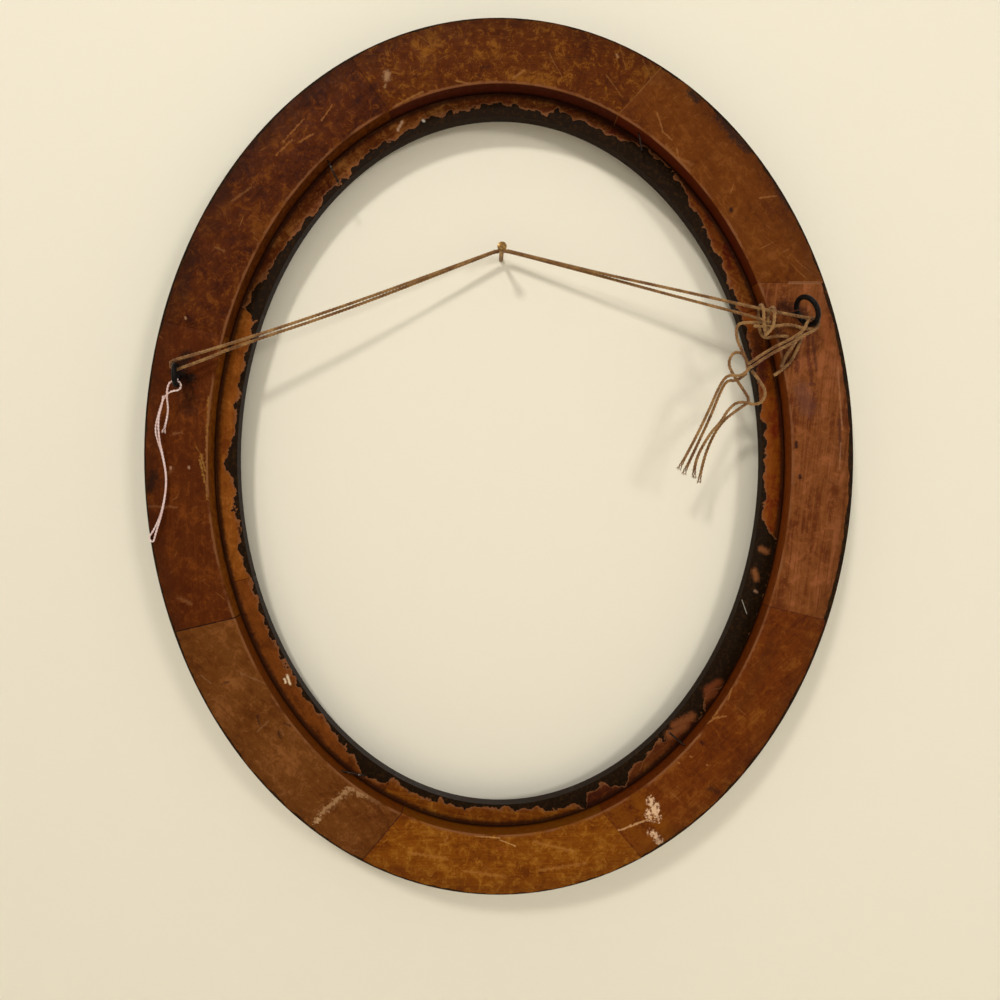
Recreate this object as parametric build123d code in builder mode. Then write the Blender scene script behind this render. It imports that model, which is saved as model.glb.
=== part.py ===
from build123d import *
from math import cos, radians, sin, tan
import os

os.makedirs("parts", exist_ok=True)

# Oval picture frame, empty, hung by a doubled twine from one nail. Millimetres.
# The origin is on the nail's axis where it enters the wall. X is to the right of someone who
# looks at the frame's back, Y points into the wall and Z is up.

# Hanging
frame_drop = 133.0  # from the nail down to the centre of the oval
wall_gap = 1.0  # between the wall and the front moulding

# Rings of the frame
rabbet_width = 355.6  # the opening that takes the glass and the picture
rabbet_height = 457.2
rabbet_depth = 13.0
ring_width = 38.5
ledge_width = 13.5
front_thickness = 17.0
outer_rounding = 1.5
inner_rounding = 0.5

# Moulding on the front ring
lip_depth = 6.0
inner_bead_width = 7.5
inner_bead_height = 10.5
cove_height = 9.5
outer_bead_width = 20.0
outer_bead_foot = 14.5
cove_rise = 1.2

# Screw eyes
left_eye_size = 15.0
right_eye_size = 20.0
eye_wire = 3.0
eye_neck_wire = 2.9
eye_thread_wire = 3.2
left_eye_reach = 11.25  # from the wood to the middle of the ring
right_eye_reach = 12.5
eye_bite = 9.0
eye_point = 2.5
left_eye_setback = 20.6  # from the rabbet's wall
right_eye_setback = 13.9
left_eye_angle = 167.49  # of its place on the oval
right_eye_angle = 22.45
left_eye_lean_angle = 12.0
right_eye_lean_angle = 15.0
left_eye_turn_angle = 0.0
right_eye_turn_angle = 26.0

# Brads that held the glass
brad_thickness = 1.2
brad_depth = 5.0  # from the back face
brad_bite = 8.0
brad_point = 1.5
upper_left_brad_reach = 14.4
upper_right_brad_reach = 10.5
lower_left_brad_reach = 15.0
lower_right_brad_reach = 12.5

# Wall nail
nail_thickness = 2.8
nail_head_width = 5.7
nail_head_thickness = 1.1
nail_reach = 30.2
nail_bite = 24.0
nail_point = 4.0

# Cords
twine_thickness = 2.0
thread_thickness = 1.2
bend_share = 0.45
tip_share = 0.2  # of a pointed wire's thickness, at its tip
widest_bend = 60.0
eye_turn = 2.7
nail_turn = 2.75
overrun = 10.0

# Worked out
back_thickness = rabbet_depth
rabbet_radius_x = rabbet_width / 2
rabbet_radius_z = rabbet_height / 2
back_face = -(wall_gap + front_thickness + back_thickness)
ledge_face = back_face + back_thickness
ring_plane = Plane((0, ledge_face, -frame_drop), x_dir=(1, 0, 0), z_dir=(0, -1, 0))

# Glue joints of a ring: the angle of the joint's place on the oval and the way its line runs.
back_joint_angles = {
    "right": (-21.4, -13.6),
    "upper_right": (26.8, 0),
    "top": (65.2, 47.3),
    "upper_left": (113.5, 126),
    "left": (160.4, 167),
    "lower_left": (202.8, 193.2),
    "bottom": (247.7, 230),
    "lower_right": (292.3, 310),
}
front_joint_angles = {
    "right": (-28, -20),
    "upper_right": (24.8, 14),
    "top": (62.5, 54),
    "upper_left": (106.3, 114),
    "left": (155, 162),
    "lower_left": (198.1, 194),
    "bottom": (244.1, 236),
    "lower_right": (288, 298),
}
# Brads: the angle of the place on the rabbet's wall, the way the wire runs, its free length
brads = {
    "upper_left": (126.2, -63.3, upper_left_brad_reach),
    "upper_right": (62.2, -79.4, upper_right_brad_reach),
    "lower_left": (235.9, -12.6, lower_left_brad_reach),
    "lower_right": (310.2, 139.8, lower_right_brad_reach),
}


def oval_point(angle, reach=0.0):
    """Give a point of the oval, moved outwards from the rabbet's wall by reach."""
    across = (rabbet_radius_x + reach) * cos(radians(angle))
    return Vector(across, (rabbet_radius_z + reach) * sin(radians(angle)))


def joint_line(place, direction, inner_reach, outer_reach):
    """Give the inner and outer end of a glue joint's line, run past both edges of its ring."""
    way = Vector(cos(radians(direction)), sin(radians(direction)))
    middle = oval_point(place, (inner_reach + outer_reach) / 2)
    half = (outer_reach - inner_reach) / 2 + overrun
    return middle - way * half, middle + way * half


def sweep_ring(profile_face):
    """Sweep a profile once round the oval of the rabbet's wall."""
    with BuildPart() as ring:
        with BuildLine(ring_plane) as path:
            EllipticalCenterArc((0, 0), rabbet_radius_x, rabbet_radius_z, start_angle=0, arc_size=360)
        sweep(sections=profile_face, path=path.line)
    return ring.part


def ring_piece(ring, joints, name, inner_reach, outer_reach):
    """Cut one glued piece out of a ring, between its own joint and the next one."""
    names = list(joints)
    following = names[(names.index(name) + 1) % len(names)]
    start, start_way = joints[name]
    end, end_way = joints[following]
    if end < start:
        end = end + 360
    start_in, start_out = joint_line(start, start_way, inner_reach, outer_reach)
    end_in, end_out = joint_line(end, end_way, inner_reach, outer_reach)
    far_start = oval_point(start + (end - start) / 3, 3 * ring_width)
    far_end = oval_point(end - (end - start) / 3, 3 * ring_width)
    depth = front_thickness + back_thickness + overrun
    with BuildPart() as piece:
        add(ring)
        with BuildSketch(ring_plane.offset(-depth)):
            with BuildLine():
                Polyline(start_in, start_out, far_start, far_end, end_out, end_in, close=True)
            make_face()
        extrude(amount=2 * depth, mode=Mode.INTERSECT)
    return piece.part


profile_plane = Plane((rabbet_radius_x, ledge_face, -frame_drop), x_dir=(1, 0, 0), z_dir=(0, 0, 1))

# Back ring: a square section with rounded rear edges, swept a little thick and planed flat behind
with BuildSketch(profile_plane) as back_profile:
    with Locations((ring_width / 2, -back_thickness / 2)):
        Rectangle(ring_width, back_thickness)
    rear_corners = back_profile.vertices().group_by(Axis.Y)[0].sort_by(Axis.X)
    fillet(rear_corners[0], radius=inner_rounding)
    fillet(rear_corners[-1], radius=outer_rounding)
    flat_width = ring_width - inner_rounding - outer_rounding
    with Locations((inner_rounding + flat_width / 2, -back_thickness)):
        Rectangle(flat_width, back_thickness)
with BuildPart() as back_body:
    add(sweep_ring(back_profile.sketch))
    split(bisect_by=ring_plane.offset(back_thickness), keep=Keep.BOTTOM)
back_ring = back_body.part

# Front ring: the ledge, an inner bead at the sight edge, a cove and an outer bead
cove_start = inner_bead_width - ledge_width
cove_end = ring_width - outer_bead_width
cove_middle = (cove_start + cove_end) / 2
bead_middle = ring_width - outer_bead_width / 2
with BuildSketch(profile_plane) as front_profile:
    with BuildLine():
        Line((-ledge_width, 0), (-ledge_width, lip_depth))
        inner_top = (-ledge_width + inner_bead_width / 3, inner_bead_height)
        ThreePointArc((-ledge_width, lip_depth), inner_top, (cove_start, cove_height))
        cove_low = (cove_middle, cove_height + cove_rise)
        ThreePointArc((cove_start, cove_height), cove_low, (cove_end, outer_bead_foot))
        bead_top = (bead_middle, front_thickness)
        ThreePointArc((cove_end, outer_bead_foot), bead_top, (ring_width, outer_bead_foot))
        Line((ring_width, outer_bead_foot), (ring_width, 0))
        Line((ring_width, 0), (-ledge_width, 0))
    make_face()
front_ring = sweep_ring(front_profile.sketch)


def eye_frame(angle, setback, lean, turn):
    """Give a screw eye's seat on the back face: its shank leaves along Z, its ring opens across X."""
    place = oval_point(angle, setback)
    shank = Vector(sin(radians(lean)), -cos(radians(lean)), 0)
    level = Vector(cos(radians(lean)), sin(radians(lean)), 0)
    upright = Vector(0, 0, 1) * cos(radians(turn)) - level * sin(radians(turn))
    seat = Vector(place.X, back_face, place.Y - frame_drop)
    return Plane(seat, x_dir=upright, z_dir=shank)


def screw_eye(seat, size, reach):
    """Make a screw eye: a bent wire ring on a shank that ends in a point inside the wood."""
    ring_radius = (size - eye_wire) / 2
    centre = seat.offset(reach)
    standing = Plane(centre.origin, x_dir=centre.x_dir, z_dir=centre.y_dir)
    with BuildPart() as eye:
        with BuildLine(standing) as loop:
            CenterArc((0, 0), ring_radius, start_angle=0, arc_size=360)
        section = Plane(loop.line @ 0, z_dir=loop.line % 0)
        with BuildSketch(section):
            Circle(eye_wire / 2)
        sweep(path=loop.line)
        with BuildSketch(seat):
            Circle(eye_neck_wire / 2)
        extrude(amount=reach - ring_radius)
        with BuildSketch(seat):
            Circle(eye_thread_wire / 2)
        extrude(amount=eye_point - eye_bite)
        with BuildSketch(seat.offset(eye_point - eye_bite)):
            Circle(eye_thread_wire / 2)
        with BuildSketch(seat.offset(-eye_bite)):
            Circle(tip_share * eye_thread_wire / 2)
        loft()
    return eye.part


left_eye_seat = eye_frame(left_eye_angle, left_eye_setback, left_eye_lean_angle, left_eye_turn_angle)
left_eye = screw_eye(left_eye_seat, left_eye_size, left_eye_reach)
right_eye_seat = eye_frame(right_eye_angle, right_eye_setback, right_eye_lean_angle, right_eye_turn_angle)
right_eye = screw_eye(right_eye_seat, right_eye_size, right_eye_reach)


def brad(place, direction, free_length):
    """Make one brad: a round wire driven into the rabbet's wall, its point in the wood."""
    way = Vector(cos(radians(direction)), 0, sin(radians(direction)))
    wall = oval_point(place)
    foot = Vector(wall.X, back_face + brad_depth, wall.Y - frame_drop)
    seat = Plane(foot, x_dir=(0, 1, 0), z_dir=way)
    with BuildPart() as wire:
        with BuildSketch(seat.offset(brad_point - brad_bite)):
            Circle(brad_thickness / 2)
        extrude(amount=brad_bite - brad_point + free_length)
        with BuildSketch(seat.offset(brad_point - brad_bite)):
            Circle(brad_thickness / 2)
        with BuildSketch(seat.offset(-brad_bite)):
            Circle(tip_share * brad_thickness / 2)
        loft()
    return wire.part


brad_wires = [brad(*row) for row in brads.values()]


def keep(part, name):
    """Label a finished piece and write it."""
    part.label = name
    export_step(part, f"parts/{name}.step")


# The back ring with the holes that the eyes and the brads have cut
with BuildPart() as bored_ring:
    add(back_ring)
    add([left_eye, right_eye, *brad_wires], mode=Mode.SUBTRACT)

# Pieces of the back ring
for name in back_joint_angles:
    with BuildPart() as back_segment:
        add(ring_piece(bored_ring.part, back_joint_angles, name, 0, ring_width))
    keep(back_segment.part, f"back_segment_{name}")

# Pieces of the front ring, with their joints staggered to those behind
for name in front_joint_angles:
    with BuildPart() as front_segment:
        add(ring_piece(front_ring, front_joint_angles, name, -ledge_width, ring_width))
    keep(front_segment.part, f"front_segment_{name}")

keep(left_eye, "left_screw_eye")
keep(right_eye, "right_screw_eye")
with BuildPart() as retaining_brads:
    add(brad_wires)
keep(retaining_brads.part, "retaining_brads")

# Wall nail: round shank, flat head, point inside the wall
head_plane = Plane((0, -nail_reach, 0), x_dir=(1, 0, 0), z_dir=(0, 1, 0))
with BuildPart() as wall_nail:
    with BuildSketch(head_plane):
        Circle(nail_head_width / 2)
    extrude(amount=nail_head_thickness)
    chamfer(wall_nail.edges().filter_by(GeomType.CIRCLE).sort_by(Axis.Y)[0], nail_head_thickness / 3)
    with BuildSketch(head_plane):
        Circle(nail_thickness / 2)
    extrude(amount=nail_reach + nail_bite - nail_point)
    with BuildSketch(head_plane.offset(nail_reach + nail_bite - nail_point)):
        Circle(nail_thickness / 2)
    with BuildSketch(head_plane.offset(nail_reach + nail_bite)):
        Circle(tip_share * nail_thickness / 2)
    loft()
keep(wall_nail.part, "wall_nail")

# Routes of the cords. A point with a fourth value has its own bend: the twine lies there against
# a wire or the nail, or is folded as tight as it is seen.
hanging_twine_route = [
    (150.5, -38.2, -48.6),
    (160.0, -38.6, -49.3),
    (171.0, -40.2, -47.6),
    (180.0, -41.2, -50.9),
    (186.4, -41.2, -50.9, eye_turn),
    (186.4, -41.2, -45.2, eye_turn),
    (156.3, -37.5, -38.7),
    (109.1, -29.8, -26.1),
    (62.5, -21.9, -14.2),
    (-0.2, -11.7, 3.0, nail_turn),
    (-90.8, -25.8, -33.6),
    (-160.3, -36.3, -59.6),
    (-195.1, -41.8, -71.3, eye_turn),
    (-193.2, -41.8, -76.7, eye_turn),
    (-173.8, -38.4, -68.7),
    (-160.3, -35.8, -62.0),
    (-90.8, -24.6, -36.0),
    (-0.2, -9.3, 3.0, nail_turn),
    (62.5, -19.0, -15.0),
    (109.2, -27.2, -29.6),
    (141.7, -34.4, -39.8),
    (157.5, -38.0, -45.2),
]
twine_wrap_route = [
    (172.0, -36.8, -54.6),
    (166.2, -36.0, -53.6),
    (156.0, -33.4, -56.0),
    (154.4, -33.2, -36.0),
    (154.9, -41.4, -35.8),
    (155.4, -41.8, -52.2),
    (160.4, -33.6, -52.9),
    (160.8, -33.2, -37.6),
    (161.5, -42.2, -37.4),
    (161.2, -42.4, -46.5),
    (160.3, -41.8, -51.2),
    (156.0, -40.8, -55.2),
]
sling_twine_route = [
    (146.5, -40.6, -71.6),
    (158.5, -41.6, -63.0),
    (171.0, -42.8, -57.2),
    (178.3, -43.6, -52.4),
    (181.2, -43.8, -44.9, eye_turn),
    (187.1, -43.8, -44.9, eye_turn),
    (187.1, -43.8, -50.8, eye_turn),
    (178.0, -43.4, -55.2),
    (171.5, -42.8, -59.8),
    (159.5, -41.6, -65.4),
    (147.6, -40.6, -74.0),
]
twine_bight_route = [
    (161.5, -35.9, -45.8),
    (150.4, -36.0, -46.0),
    (140.6, -36.2, -46.6),
    (140.6, -36.4, -56.0),
    (145.6, -36.2, -65.4),
    (148.4, -36.0, -71.4),
]
wood_loop_route = [
    (165.5, -32.3, -77.2),
    (173.8, -32.3, -71.6),
    (179.0, -32.5, -62.5),
    (182.2, -33.6, -52.2),
    (179.0, -37.1, -52.4),
    (176.0, -34.9, -59.5),
    (171.8, -32.8, -66.0),
    (169.6, -32.3, -72.5),
]
twine_tail_1_route = [
    (147.5, -43.0, -73.0),
    (143.0, -42.2, -79.6),
    (134.5, -40.4, -77.4),
    (129.8, -39.4, -84.5),
    (124.2, -38.6, -98.4),
    (115.4, -37.9, -117.3),
    (106.0, -37.4, -134.8),
]
twine_tail_2_route = [
    (145.8, -40.3, -77.0),
    (140.5, -39.6, -81.8),
    (134.8, -38.1, -80.6),
    (131.0, -37.0, -88.0),
    (125.9, -35.8, -102.2),
    (117.5, -35.2, -120.7),
    (109.6, -34.8, -137.9),
]
twine_tail_3_route = [
    (149.4, -38.2, -75.0),
    (154.0, -37.8, -80.2),
    (159.4, -37.2, -88.5),
    (155.0, -36.6, -96.2),
    (142.5, -36.2, -92.8),
    (136.0, -36.6, -98.5),
    (132.0, -37.0, -105.5),
    (124.3, -37.6, -113.5),
    (115.0, -38.6, -130.6),
    (115.3, -38.8, -139.9),
]
twine_tail_4_route = [
    (148.8, -33.4, -74.0),
    (148.0, -33.4, -65.5),
    (140.6, -33.6, -62.4),
    (136.2, -33.8, -70.0),
    (140.6, -34.0, -78.4),
    (146.3, -34.0, -86.4),
    (150.6, -34.0, -93.2),
    (143.5, -34.0, -97.6),
    (133.4, -34.2, -105.2),
    (127.0, -34.0, -115.7),
    (122.1, -33.0, -129.8),
    (119.8, -32.6, -143.4),
]
white_thread_route = [
    (-193.4, -42.4, -82.4),
    (-188.6, -42.0, -82.2),
    (-188.6, -42.0, -87.8),
    (-194.8, -41.8, -88.4),
    (-200.4, -37.6, -91.4),
    (-204.6, -34.8, -99.6),
    (-208.0, -33.4, -110.4),
    (-206.2, -33.0, -118.4),
    (-203.6, -32.9, -127.0),
    (-201.4, -32.9, -141.0),
    (-204.6, -32.9, -159.4),
    (-210.0, -32.9, -171.2),
    (-213.4, -33.0, -175.4),
    (-210.2, -33.1, -179.0),
    (-206.9, -33.2, -172.9),
    (-202.6, -33.0, -159.0),
    (-199.8, -32.9, -141.0),
    (-202.4, -33.3, -126.4),
    (-204.8, -35.2, -116.0),
    (-204.6, -36.6, -104.0),
    (-200.9, -38.6, -95.1),
    (-199.6, -40.6, -90.8),
]
short_thread_route = [
    (-189.4, -43.6, -81.8),
    (-194.2, -43.6, -82.6),
    (-196.2, -43.2, -87.2),
    (-197.6, -40.4, -92.8),
    (-198.4, -36.6, -98.4),
    (-200.8, -34.0, -106.0),
    (-203.2, -33.4, -113.2),
]
twine_routes = {
    "hanging_twine": hanging_twine_route,
    "twine_wrap": twine_wrap_route,
    "sling_twine": sling_twine_route,
    "twine_bight": twine_bight_route,
    "wood_loop": wood_loop_route,
    "twine_tail_1": twine_tail_1_route,
    "twine_tail_2": twine_tail_2_route,
    "twine_tail_3": twine_tail_3_route,
    "twine_tail_4": twine_tail_4_route,
}
thread_routes = {"white_thread": white_thread_route, "short_thread": short_thread_route}


def bend_radius(before, corner, after, own_bend):
    """Give the radius of the bend at a point of a route, as wide as its two runs allow."""
    arriving = corner - before
    leaving = after - corner
    half_turn = radians(arriving.get_angle(leaving)) / 2
    fitting = bend_share * min(arriving.length, leaving.length) / tan(half_turn)
    return min(fitting, own_bend)


def cord(name, route, thickness):
    """Make a cord's tube along its route and print its bends and its volume."""
    points = [Vector(*row[:3]) for row in route]
    own_bends = [row[3] if len(row) > 3 else widest_bend for row in route]
    corners = zip(points, points[1:], points[2:], own_bends[1:])
    bends = [bend_radius(*corner) for corner in corners]
    with BuildPart() as tube:
        with BuildLine() as way:
            FilletPolyline(*points, radius=bends)
        with BuildSketch(Plane(way.line @ 0, z_dir=way.line % 0)):
            Circle(thickness / 2)
        sweep(path=way.line)
    length = way.wire().length
    filled = tube.part.volume / (Circle(thickness / 2, mode=Mode.PRIVATE).area * length)
    print(name, "length", round(length, 1), "filled share", round(filled, 4))
    print("   bends", *[round(bend, 1) for bend in bends])
    keep(tube.part, name)


for name, route in twine_routes.items():
    cord(name, route, twine_thickness)
for name, route in thread_routes.items():
    cord(name, route, thread_thickness)
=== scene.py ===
"""An empty oval picture frame, seen from behind, hung by a doubled twine from one nail."""

import logging
import math
import random
from collections.abc import Callable
from dataclasses import dataclass, field
from enum import Enum
from functools import partial

import bpy
from mathutils import Matrix, Vector


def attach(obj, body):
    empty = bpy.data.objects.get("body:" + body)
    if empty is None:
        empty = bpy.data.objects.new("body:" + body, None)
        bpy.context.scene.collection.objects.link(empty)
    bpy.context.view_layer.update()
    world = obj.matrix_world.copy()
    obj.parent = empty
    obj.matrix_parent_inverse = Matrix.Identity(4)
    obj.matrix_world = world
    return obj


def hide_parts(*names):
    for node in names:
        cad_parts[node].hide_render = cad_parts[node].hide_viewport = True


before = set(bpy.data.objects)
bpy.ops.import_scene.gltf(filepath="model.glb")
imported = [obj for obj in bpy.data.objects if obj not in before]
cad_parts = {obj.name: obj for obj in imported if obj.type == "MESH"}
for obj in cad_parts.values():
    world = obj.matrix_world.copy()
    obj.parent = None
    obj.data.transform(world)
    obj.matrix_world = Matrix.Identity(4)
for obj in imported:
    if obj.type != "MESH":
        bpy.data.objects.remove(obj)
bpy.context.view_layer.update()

log = logging.getLogger("oval_frame")

MM = 0.001

# Sizes in millimetres
DROP = 133.0  # from the nail down to the middle of the oval
HALF_WIDTH = 177.8  # of the rabbet's oval
HALF_HEIGHT = 228.6
RING_WIDTH = 38.5
LEDGE_WIDTH = 13.5
BACK_FACE = -31.0
LEDGE_FACE = -18.0
CLOSE = 0.02  # corners nearer than this become one
NEWTON_STEPS = 6

Pair = tuple[float, float]
Triple = tuple[float, float, float]
Stroke = tuple[float, float, float, float]


class Body(Enum):
    """The two rigid bodies: the nail in the wall and the frame that hangs on it."""

    NAIL = "nail"
    FRAME = "frame"


class Part(Enum):
    """The parts of a mesh that can be chosen."""

    FACE = "FACE"
    EDGE = "EDGE"


class FarEnd(Enum):
    """What is on the far end of a cord."""

    BARE = "bare"
    OBJECT = "object"


class Lay(Enum):
    """How a cord lies."""

    TAUT = "taut"
    HANGING = "hanging"
    LOOSE = "loose"


def colour(text: str) -> tuple[float, float, float, float]:
    """Turn an sRGB hex colour into Blender's linear colour.

    Args:
        text: six hex digits, such as "8a4b22".

    Returns:
        Red, green, blue and an alpha of one.
    """
    parts = [int(text[i:i + 2], 16) / 255 for i in (0, 2, 4)]
    linear = [p / 12.92 if p <= 0.04045 else ((p + 0.055) / 1.055) ** 2.4 for p in parts]
    return (*linear, 1.0)


def deselect() -> None:
    """Deselect every object."""
    bpy.ops.object.select_all(action="DESELECT")


def take(piece: bpy.types.Object) -> None:
    """Select one object alone and make it active."""
    deselect()
    piece.select_set(True)
    bpy.context.view_layer.objects.active = piece


def choose(piece: bpy.types.Object, wanted: Callable[[Vector], bool], kind: Part) -> None:
    """Select the faces or edges of a piece whose middle is wanted. Leaves the piece in edit mode.

    Args:
        piece: the mesh object.
        wanted: a test of a middle, in metres.
        kind: the parts to choose among.
    """
    bpy.ops.object.mode_set(mode="OBJECT")
    mesh = piece.data
    for group in (mesh.vertices, mesh.edges, mesh.polygons):
        group.foreach_set("select", [False] * len(group))
    for part in mesh.polygons if kind is Part.FACE else mesh.edges:
        middle = sum((mesh.vertices[i].co for i in part.vertices), Vector()) / len(part.vertices)
        part.select = wanted(middle)
    bpy.ops.object.mode_set(mode="EDIT")
    bpy.ops.mesh.select_mode(type=kind.value)


def settle() -> None:
    """Apply the place, turn and size of the selected piece."""
    bpy.ops.object.transform_apply(location=True, rotation=True, scale=True)


def face_outwards() -> None:
    """Turn all faces of the piece in edit mode outwards, and leave edit mode."""
    bpy.ops.mesh.select_all(action="SELECT")
    bpy.ops.mesh.normals_make_consistent(inside=False)
    bpy.ops.object.mode_set(mode="OBJECT")


def dress(piece: bpy.types.Object, material: bpy.types.Material, node: str, body: Body) -> None:
    """Args:
        piece: the finished piece.
        material: its material.
        node: the CAD node that it stands for.
        body: the body that it moves with.
    """
    piece.data.materials.clear()
    piece.data.materials.append(material)
    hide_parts(node)
    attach(piece, body.value)
    log.info("%s: %d faces", piece.name, len(piece.data.polygons))


def nearest_angle(x: float, z: float) -> float:
    """Give the angle on the rabbet's oval whose outward line goes through a point.

    Args:
        x: millimetres right of the oval's middle.
        z: millimetres above it.

    Returns:
        The angle in radians.
    """
    turn = math.atan2(z / HALF_HEIGHT, x / HALF_WIDTH)
    squash = HALF_WIDTH ** 2 - HALF_HEIGHT ** 2
    for _ in range(NEWTON_STEPS):
        c, s = math.cos(turn), math.sin(turn)
        error = HALF_WIDTH * x * s - HALF_HEIGHT * z * c - squash * s * c
        slope = HALF_WIDTH * x * c + HALF_HEIGHT * z * s - squash * (c * c - s * s)
        turn -= error / slope
    return turn


def oval_reach(x: float, z: float) -> float:
    """Give how far outwards of the rabbet's wall a point lies.

    Args:
        x: millimetres right of the oval's middle.
        z: millimetres above it.

    Returns:
        Millimetres, below zero inside the oval.
    """
    turn = nearest_angle(x, z)
    c, s = math.cos(turn), math.sin(turn)
    across, up = c / HALF_WIDTH, s / HALF_HEIGHT
    return ((x - HALF_WIDTH * c) * across + (z - HALF_HEIGHT * s) * up) / math.hypot(across, up)


# Settings that many nodes share
SMOOTH = {"interpolation_type": "SMOOTHSTEP"}
OVER = {"data_type": "RGBA"}
ABOUT_Y = {"rotation_type": "Y_AXIS"}
TIMES = {"operation": "MULTIPLY"}
TIMES_PLUS = {"operation": "MULTIPLY_ADD"}
GREATER = {"operation": "MAXIMUM"}
SMALLER = {"operation": "MINIMUM"}


class Nodes:
    """The node tree of one material, with short ways to add to it."""

    def __init__(self, name: str) -> None:
        """Start an empty material of that name."""
        self.material = bpy.data.materials.new(name)
        self.material.use_nodes = True
        self.tree = self.material.node_tree
        self.tree.nodes.clear()

    def add(self, kind: str, settings: dict | None = None, out: int | str = 0, **inputs: object) -> object:
        """Add a node with its settings and links.

        Args:
            kind: the node's type without its ShaderNode prefix.
            settings: attributes of the node.
            out: the output that is wanted.
            inputs: socket names, with _ for a space, or i0, i1 for a socket's number; a value
                that is a socket is linked, and a text is a hex colour.

        Returns:
            The wanted output socket, or None where the node has none.
        """
        node = self.tree.nodes.new("ShaderNode" + kind)
        for key, value in (settings or {}).items():
            setattr(node, key, value)
        for key, value in inputs.items():
            socket = node.inputs[int(key[1:])] if key[1:].isdigit() else node.inputs[key.replace("_", " ")]
            if isinstance(value, bpy.types.NodeSocket):
                self.tree.links.new(value, socket)
            else:
                socket.default_value = colour(value) if isinstance(value, str) else value
        return node.outputs[out] if node.outputs else None

    def measured(self, name: str) -> object:
        """Read one of the numbers that a ring measures at its vertices."""
        return self.add("Attribute", {"attribute_name": name}, "Fac")

    def noise(self, place: object, size: float, detail: float, rough: float, warp: float = 0.0) -> object:
        """Give a noise with lumps of about a size in millimetres."""
        return self.add("TexNoise", Vector=place, Scale=1 / (size * MM), Detail=detail, Roughness=rough,
                        Distortion=warp)

    def ease(self, value: object, low: object, high: object, top: float = 1.0,
             bottom: float = 0.0) -> object:
        """Map a value smoothly, so that low gives the bottom and high gives the top."""
        return self.add("MapRange", SMOOTH, Value=value, From_Min=low, From_Max=high, To_Min=bottom,
                        To_Max=top)

    def times(self, value: object, factor: object, plus: object = None) -> object:
        """Multiply a value by a factor, and add to it where there is something to add."""
        if plus is None:
            return self.add("Math", TIMES, i0=value, i1=factor)
        return self.add("Math", TIMES_PLUS, i0=value, i1=factor, i2=plus)

    def over(self, base: object, tint: object, amount: object) -> object:
        """Lay a tint over a colour, each of them a socket or a hex colour."""
        return self.add("Mix", OVER, 2, i0=amount, i6=base, i7=tint)

    def shader(self, base: object, rough: object, height: object, strength: float, depth: float,
               **more: object) -> object:
        """Give a surface its colour, roughness and a bump, whose depth is in millimetres."""
        bump = self.add("Bump", Height=height, Strength=strength, Distance=depth * MM)
        return self.add("BsdfPrincipled", Base_Color=base, Roughness=rough, Normal=bump, **more)

    def finish(self, shader: object) -> bpy.types.Material:
        """Give the shader to the material's output."""
        self.add("OutputMaterial", Surface=shader)
        return self.material


# Old black lacquer, the brown where it is rubbed thin, and the pale wood at its chipped edge
PAINT = "190c01"
PAINT_WORN = "301c05"
CHIP = "7c4d2c"
# A scratch through the stain, and the dirt in a joint
SCRATCH = "8d5c2c"
SOOT = "1c0b04"


@dataclass(frozen=True)
class Marks:
    """Scratches, scuffs, stains or painted shadows of one kind on the wood, each a stroke from one point to
    another.
    """

    tint: str
    width: float
    strength: float
    ragged: float
    strokes: tuple[Stroke, ...]

    def draw(self, nodes: Nodes, place: object, base: object) -> object:
        """Draw the strokes over the colour.

        Args:
            nodes: the material's nodes.
            place: the object coordinates.
            base: the colour under the strokes.

        Returns:
            The colour with the strokes.
        """
        add = nodes.add
        flat = add("VectorMath", TIMES, i0=place, i1=(1, 0, 1))
        nearest = None
        for x, z, far_x, far_z in self.strokes:
            start = Vector((x, 0, z)) * MM
            way = Vector((far_x, 0, far_z)) * MM - start
            part = way / way.length_squared
            offset = add("VectorMath", {"operation": "SUBTRACT"}, i0=flat, i1=start)
            share = add("VectorMath", {"operation": "DOT_PRODUCT"}, "Value", i0=offset, i1=part)
            foot = add("VectorMath", {"operation": "SCALE"}, i0=way, Scale=add("Clamp", Value=share))
            gap = add("VectorMath", {"operation": "DISTANCE"}, "Value", i0=offset, i1=foot)
            nearest = gap if nearest is None else add("Math", SMALLER, i0=nearest, i1=gap)
        # The edge frays in grains of about 2 mm
        rough = nodes.noise(place, 1.8, detail=4, rough=0.7)
        width = self.width * MM
        strayed = nodes.times(rough, self.ragged * width * 2, plus=nearest)
        limit = width * (self.ragged + 0.5)
        amount = nodes.ease(strayed, limit + width * 0.25, limit - width * 0.45, self.strength)
        return nodes.over(base, self.tint, amount)


@dataclass(frozen=True)
class Seam:
    """How one glue joint looks: its tint, how much it shows, its width and the share that is full."""

    tint: str
    strength: float
    width: float
    core: float = 0.3


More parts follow.
